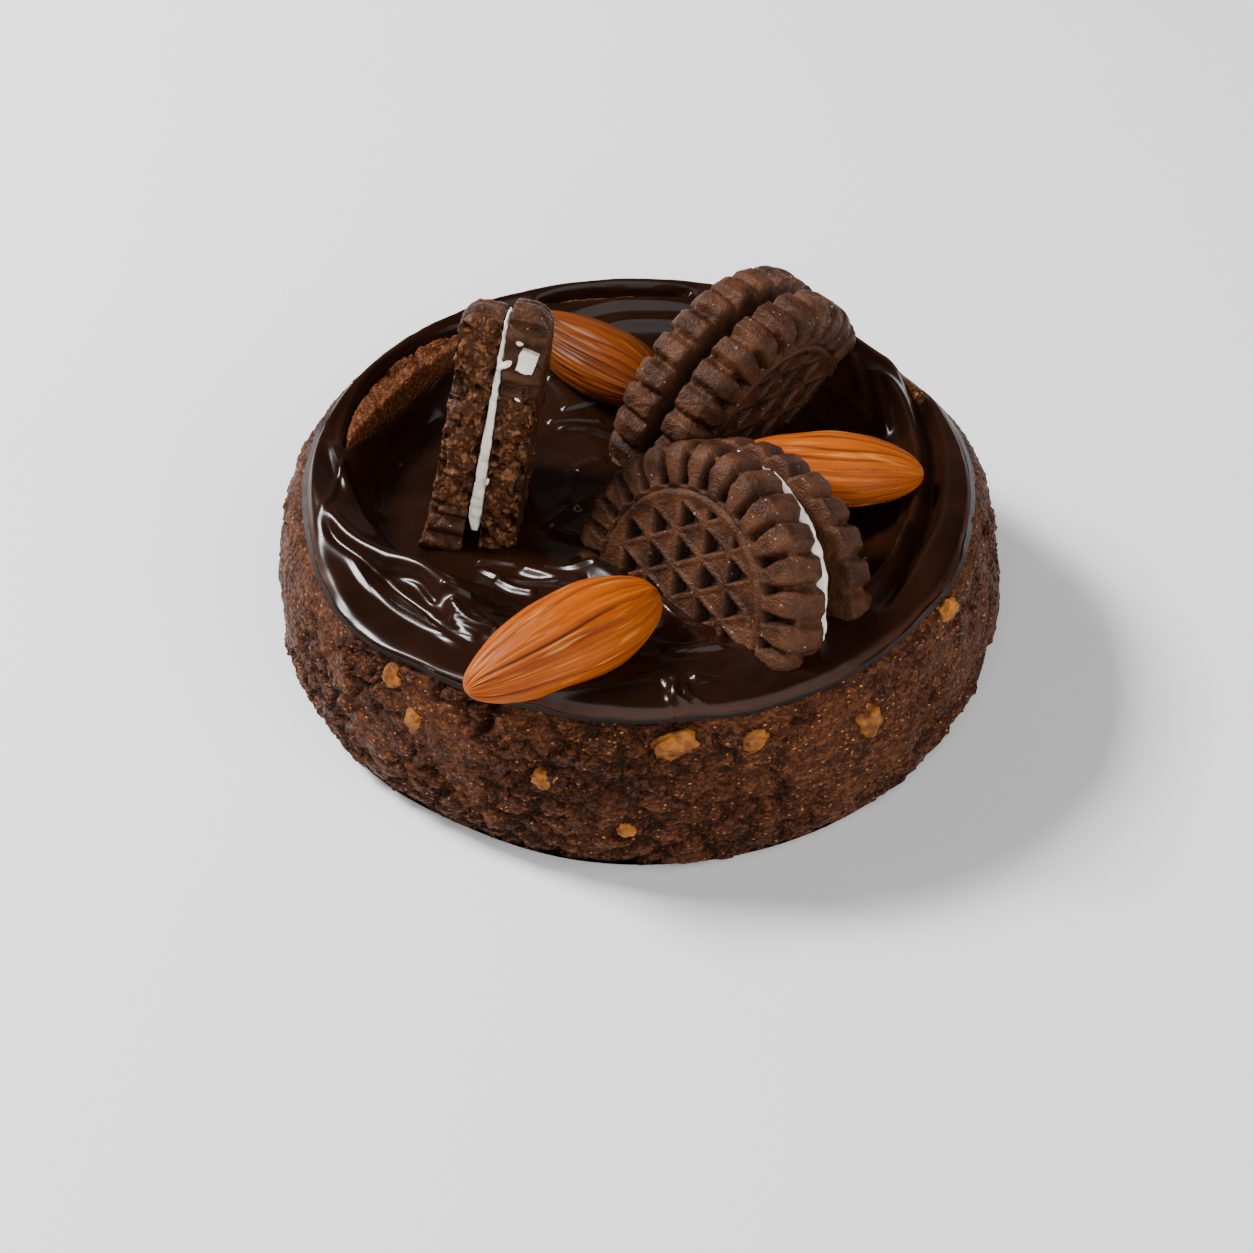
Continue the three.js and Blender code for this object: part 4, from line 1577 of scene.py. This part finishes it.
        # flutes round the rim
        pitch = math.tau / self.flutes
        turn = np.arctan2(y, x) - math.radians(self.flute_turn)
        off_valley = np.abs((turn / pitch) % 1 - 0.5) * pitch * radius
        valley = 1 - smoothstep(off_valley, 0.0, self.flute_half)
        flute = self.flute_depth * valley * (1 + 0.5 * lumps)
        rim = smoothstep(radius, self.tooth_foot, self.tooth_top)
        inward = rim * (flute + 0.12 * lumps + 0.06 * grit)
        # slots between the teeth and the embossed face
        reach = smoothstep(radius, self.tooth_foot, self.slot_end)
        slot = 1 - smoothstep(off_valley, 0.2, 0.95 - 0.35 * reach)
        slot *= smoothstep(radius, self.tooth_foot - 0.1, self.tooth_foot + 0.5)
        face = self.face_depth(x, y) + (self.slot_depth - self.slot_rise * reach) * slot * (1 + 0.3 * lumps)
        top = smoothstep(z, fit.thick - 1.6, fit.thick - 0.15)
        points[:, :2] *= (1 - inward / np.maximum(radius, 1.0))[:, None]
        points[:, 2] -= top * (face + 0.1 * crumb + 0.07 * grit + 0.08 * lumps)
        # the crumbly break, with ledges at its lower end
        chunks, pores, chips = self.break_parts(points, z, fit.thick, seed)
        broken = 1 - smoothstep(y + self.sink, *self.break_span)
        torn = 1.2 * chunks + 0.8 * lumps + 0.6 * crumb - 1.2 * pores - 1.2 * chips
        ledge = smoothstep(self.ledges_below - x, -0.6, 0.6)
        wave = np.abs(np.cos((x - self.ledges_below) * math.pi / self.ledge_pitch))
        steps = self.ledge_height * wave - 0.4 + 0.2 * crumb
        points[:, 1] -= broken * (self.break_depth * torn * (1 - ledge) + steps * ledge)
        points[:, 0] += 0.1 * crumb
        points[:, 2] += (0.2 * broken + 0.05) * crumb + 0.25 * broken * chunks
        move_points(mesh, points)
        # painted shade for the pits and slots of the face and for the pores and chipped edges of the break
        hollow = 0.9 * top * np.clip(face - 0.45, 0, 1) + broken * (1 - ledge) * (0.9 * pores + 0.5 * chips)
        add_attribute(mesh, "hollow", np.clip(hollow, 0, 1))
        add_attribute(mesh, "broken", broken * (1 - ledge))
        mesh.transform(self.wafer_place(side))
        return mesh

    def near_side(self, x: np.ndarray) -> np.ndarray:
        """Where the filling's near side lies: it follows the near wafer."""
        slope = math.tan(math.radians(self.near.splay))
        return self.cream / 2 + self.near.gap - (x - self.near.shift) * slope

    def build_cream(self) -> Mesh:
        """Make the cream's mesh in the part's frame.

        Returns:
            The mesh in mm.
        """
        half, reach = self.cream / 2, self.cream_radius
        soft = 0.7 * half
        rim = [(reach - soft, -half), (reach, soft - half), (reach, half - soft), (reach - soft, half)]
        profile = np.array([(r, 0, z) for r, z in ((0, -half), *rim, (0, half))])
        bm = turned(profile, 4 * self.flutes, (0, 0, 1))
        trim(bm, (0, -self.sink, 0), (0, -1, 0))
        for vert in bm.verts:
            vert.co.z *= 1 if vert.co.z < 0 else self.near_side(vert.co.x) / half
        trim(bm, (self.cream_from, 0, 0), (-1, 0, 0))
        for dab in self.dabs:
            if dab.chunk:
                made = bmesh.ops.create_cube(bm, size=0.9)["verts"]
            else:
                made = bmesh.ops.create_icosphere(bm, subdivisions=3, radius=0.5)["verts"]
            bmesh.ops.scale(bm, vec=(dab.long, dab.deep, dab.wide), verts=made)
            turn = Matrix.Rotation(math.radians(dab.turn), 4, "Y")
            bmesh.ops.transform(bm, matrix=Matrix.Translation((dab.x, dab.y, dab.z)) @ turn, verts=made)
        mesh = remeshed(bm, f"{self.name}_filling", 0.8 * self.voxel, 3)
        points = mesh_points(mesh)
        radius = np.hypot(points[:, 0], points[:, 1])
        inside = smoothstep(points[:, 0], self.cream_from - 0.4, self.cream_from + 2.4)
        points[:, 2] *= 0.3 + 0.7 * np.sqrt(inside)
        ragged = fractal(points, self.rag_mm, 3, self.seed + 31)
        rim_share = smoothstep(radius, reach - 2, reach)
        points[:, :2] *= (1 + self.rim_rag * rim_share * ragged / np.maximum(radius, 1.0))[:, None]
        broken = 1 - smoothstep(points[:, 1] + self.sink, *self.break_span)
        points[:, 1] -= broken * (0.1 + self.break_rag * ragged)
        points += 0.12 * fractal(points, 1.2, 2, self.seed + 37)[:, None]
        move_points(mesh, points)
        mesh.transform(self.spun())
        return mesh

    def build(self, wafer: Material, cream: Material) -> None:
        """Build the pieces and dress them.

        Args:
            wafer: Finish of the wafers.
            cream: Finish of the filling.
        """
        for side in Side:
            node = f"{self.name}_{side.value}_wafer"
            add_piece(f"{self.name}_{side.value}", self.build_wafer(side), wafer, node)
        add_piece(f"{self.name}_filling", self.build_cream(), cream, f"{self.name}_cream")


BISCUITS = (
    HalfBiscuit(
        "front_biscuit", (8.64, -19.65, 21.6), -50, -24, 0, 3.6, 1.5,
        WaferFit(5.6, 0, 0, 0), WaferFit(5.4, 5, 0, 1.6), flute_turn=1.8, seed=2.3, cream_radius=17.8,
    ),
    HalfBiscuit(
        "back_biscuit", (12.7, 18.2, 21.7), 46.6, 9, 0, 3.5, 1.6,
        WaferFit(5.4, 0, 0, 0), WaferFit(5.4, 0, 0, 0.2), seed=13.1, cream_radius=12.5,
    ),
    HalfBiscuit(
        "left_biscuit", (-18.26, -7.51, 33.97), -95.63, -8.27, 96.76, 0, 0.6,
        WaferFit(5.0, 2.5, -1, 0.6), WaferFit(4.8, 0, 0, 0), break_depth=1.0, seed=34.9, cream_from=-11.5,
        ledges_below=-8.0,
        dabs=(
            CreamDab(12.3, -0.5, -0.6, 2.6, 0.8, 0.9, 42),
            CreamDab(13.2, -0.4, -3.2, 3.0, 2.4, 1.4, 12, chunk=True),
            CreamDab(15.4, -0.5, -2.0, 0.8, 1.0, 0.6, 0),
            CreamDab(8.0, -0.4, -2.7, 0.5, 1.0, 0.6, 20),
            CreamDab(-4.1, -0.5, -0.5, 1.2, 0.5, 0.6, 20),
        ),
    ),
)


# The almonds


@dataclass
class Almond:
    """A whole almond in its skin, lying in the ganache, its pointed end towards +X before it is turned."""

    name: str
    at: Point
    yaw: float
    pitch: float
    size: Point
    seed: float
    skin: AlmondSkin = AlmondSkin()
    widest: float = 1.28
    fullness: float = 0.5
    tip_fullness: float = 0.37
    rings: int = 120
    sides: int = 224
    furrow_depth: float = 0.3
    ribs: int = 19
    fine_ribs: float = 45.6
    fine_share: float = 0.3
    sway: float = 0.8
    wrinkle_mm: float = 0.9
    wrinkle_height: float = 0.12
    lump_mm: float = 7.0
    lump_height: float = 0.25
    # pace of the wrinkles' pattern along the almond, compared with that round it
    grain_stretch: float = 0.09
    # shares of the length between which the furrows fade out at the blunt end
    blunt_span: Span = (-0.5, -0.36)

    def profile(self) -> np.ndarray:
        """Half outline from the pointed end to the blunt one.

        Returns:
            Its points, one row each.
        """
        share = (1 - np.cos(np.linspace(0, math.pi, self.rings + 1))) / 2
        fullness = self.tip_fullness + (self.fullness - self.tip_fullness) * share
        radius = self.size[1] / 2 * np.abs(np.sin(math.pi * share**self.widest)) ** fullness
        radius[[0, -1]] = 0
        return np.stack([(0.5 - share) * self.size[0], np.zeros_like(share), radius], 1)

    def build(self) -> Mesh:
        """Make the almond's mesh in the part's frame.

        Returns:
            The mesh in mm.
        """
        length, width, thick = self.size
        mesh = to_mesh(turned(self.profile(), self.sides, (1, 0, 0)), self.name)
        points = mesh_points(mesh)
        around = np.arctan2(points[:, 2], points[:, 1])
        girth = np.hypot(points[:, 1], points[:, 2])
        ring = np.stack([np.cos(around), np.sin(around)], 1) * width / 2
        grain = np.column_stack([points[:, 0] * self.grain_stretch, ring])
        blunt = smoothstep(points[:, 0], *(share * length for share in self.blunt_span))
        blunt *= smoothstep(girth, 0.3, 2.0)
        sway = self.sway * fractal(points * (0.4, 1.0, 1.0), self.lump_mm, 2, self.seed)
        furrow = np.zeros_like(girth)
        for count, share, half in ((self.ribs, 1.0, 0.15), (self.fine_ribs, self.fine_share, 0.25)):
            place = count * around / math.tau + sway
            worn = smoothstep(fractal(grain, 4.0, 2, self.seed + count), -0.4, 0.3)
            furrow = np.maximum(furrow, share * worn * bell((place - np.floor(place) - 0.5) / half))
        furrow *= 0.15 + 0.85 * blunt
        wrinkles = fractal(grain, self.wrinkle_mm, 3, self.seed + 9)
        lumps = fractal(points, self.lump_mm, 2, self.seed + 4) * smoothstep(girth, 0.5, 3.0)
        out = self.wrinkle_height * wrinkles - self.furrow_depth * furrow + self.lump_height * lumps
        points[:, 1:] *= (1 + out / np.maximum(girth, 0.6))[:, None]
        points[:, 2] *= thick / width
        move_points(mesh, points)
        # the furrows, for the skin's painted shade
        add_attribute(mesh, "hollow", furrow)
        add_attribute(mesh, "grain", grain * MM)
        yaw = Matrix.Rotation(math.radians(self.yaw), 4, "Z")
        pitch = Matrix.Rotation(-math.radians(self.pitch), 4, "Y")
        mesh.transform(Matrix.Translation(self.at) @ yaw @ pitch)
        return mesh


# a darker copy of the skin for the back almond: painted shade
SHADED_ALMOND_SKIN = AlmondSkin("shaded_almond_skin", "#4a1d03", "#6e3307", dust="#8a5020")
ALMONDS = (
    Almond("front_almond", (-8.7, -34.3, 27.4), -144.6, -3, (26.2, 12.0, 9.8), 1.7),
    Almond("back_almond", (-5.9, 25.2, 25.0), 139.7, 4, (24.5, 11.4, 8.6), 15.2, SHADED_ALMOND_SKIN),
    Almond("right_almond", (22.9, -0.7, 26.2), 173, 0, (25.0, 10.8, 8.2), 33.8),
)


# The studio


@dataclass(frozen=True)
class SoftBox:
    """A square soft light: its place and target in metres, size in metres and power in watts."""

    name: str
    place: Point
    target: Point
    size: float
    power: float

    def build(self) -> None:
        """Hang the light."""
        data = bpy.data.lights.new(self.name, "AREA")
        data.shape = "SQUARE"
        data.size = self.size
        data.energy = self.power
        light = bpy.data.objects.new(self.name, data)
        light.location = self.place
        light.rotation_euler = (Vector(self.target) - Vector(self.place)).to_track_quat("-Z", "Y").to_euler()
        bpy.context.scene.collection.objects.link(light)


@dataclass
class Studio:
    """Pale floor (half its side in metres), soft lights and the camera of the photograph's view (in mm)."""

    floor_half: float = 8.0
    camera_place: Point = (-1.58, -225.6, 198.8)
    camera_tilt: float = 48.5
    lens: float = 65.25
    nearest: float = 10.0
    sky: float = 0.06
    lights: tuple = (
        SoftBox("key_light", (-0.62, 0.22, 0.68), (0, 0, 0.02), 0.24, 19.0),
        SoftBox("fill_light", (1.0, -2.25, 1.875), (0, 0, 0.02), 4.5, 162.5),
        SoftBox("back_panel", (0.1, 1.3, 0.3), (0, 0, 0.02), 1.2, 0.5),
    )

    def build(self) -> None:
        """Set up floor, lights and camera."""
        bm = bmesh.new()
        bmesh.ops.create_grid(bm, x_segments=2, y_segments=2, size=self.floor_half)
        mesh = to_mesh(bm, "studio_floor")
        mesh.materials.append(PaintedBoard().build())
        floor = bpy.data.objects.new("studio_floor", mesh)
        bpy.context.scene.collection.objects.link(floor)
        world = bpy.data.worlds.new("studio_air")
        world.use_nodes = True
        air = world.node_tree.nodes["Background"].inputs
        air["Color"].default_value = (1.0, 1.0, 1.0, 1.0)
        air["Strength"].default_value = self.sky
        bpy.context.scene.world = world
        for light in self.lights:
            light.build()
        data = bpy.data.cameras.new("photo_view")
        data.lens = self.lens
        data.clip_start = self.nearest * MM
        camera = bpy.data.objects.new("photo_view", data)
        camera.location = Vector(self.camera_place) * MM
        camera.rotation_euler = (math.radians(self.camera_tilt), 0, 0)
        bpy.context.scene.collection.objects.link(camera)
        bpy.context.scene.camera = camera


def main() -> None:
    """Build the cookie, piece by piece, and the studio round it."""
    logging.basicConfig(level=logging.INFO, format="%(name)s: %(message)s")
    Studio().build()
    base = CookieBase()
    add_piece("cookie_crust", base.build(), BakedCrumb().build(), "cookie_base")
    add_piece("nut_pieces", base.build_nuts(), ChoppedNut().build(), "cookie_base")
    add_piece("set_ganache", Ganache().build(), SetGanache().build(), "ganache")
    wafer, cream = CocoaWafer().build(), VanillaCream().build()
    for biscuit in BISCUITS:
        biscuit.build(wafer, cream)
    skins = {skin: skin.build() for skin in dict.fromkeys(almond.skin for almond in ALMONDS)}
    for almond in ALMONDS:
        add_piece(f"{almond.name}_kernel", almond.build(), skins[almond.skin], almond.name)


if __name__ == "__main__":
    main()
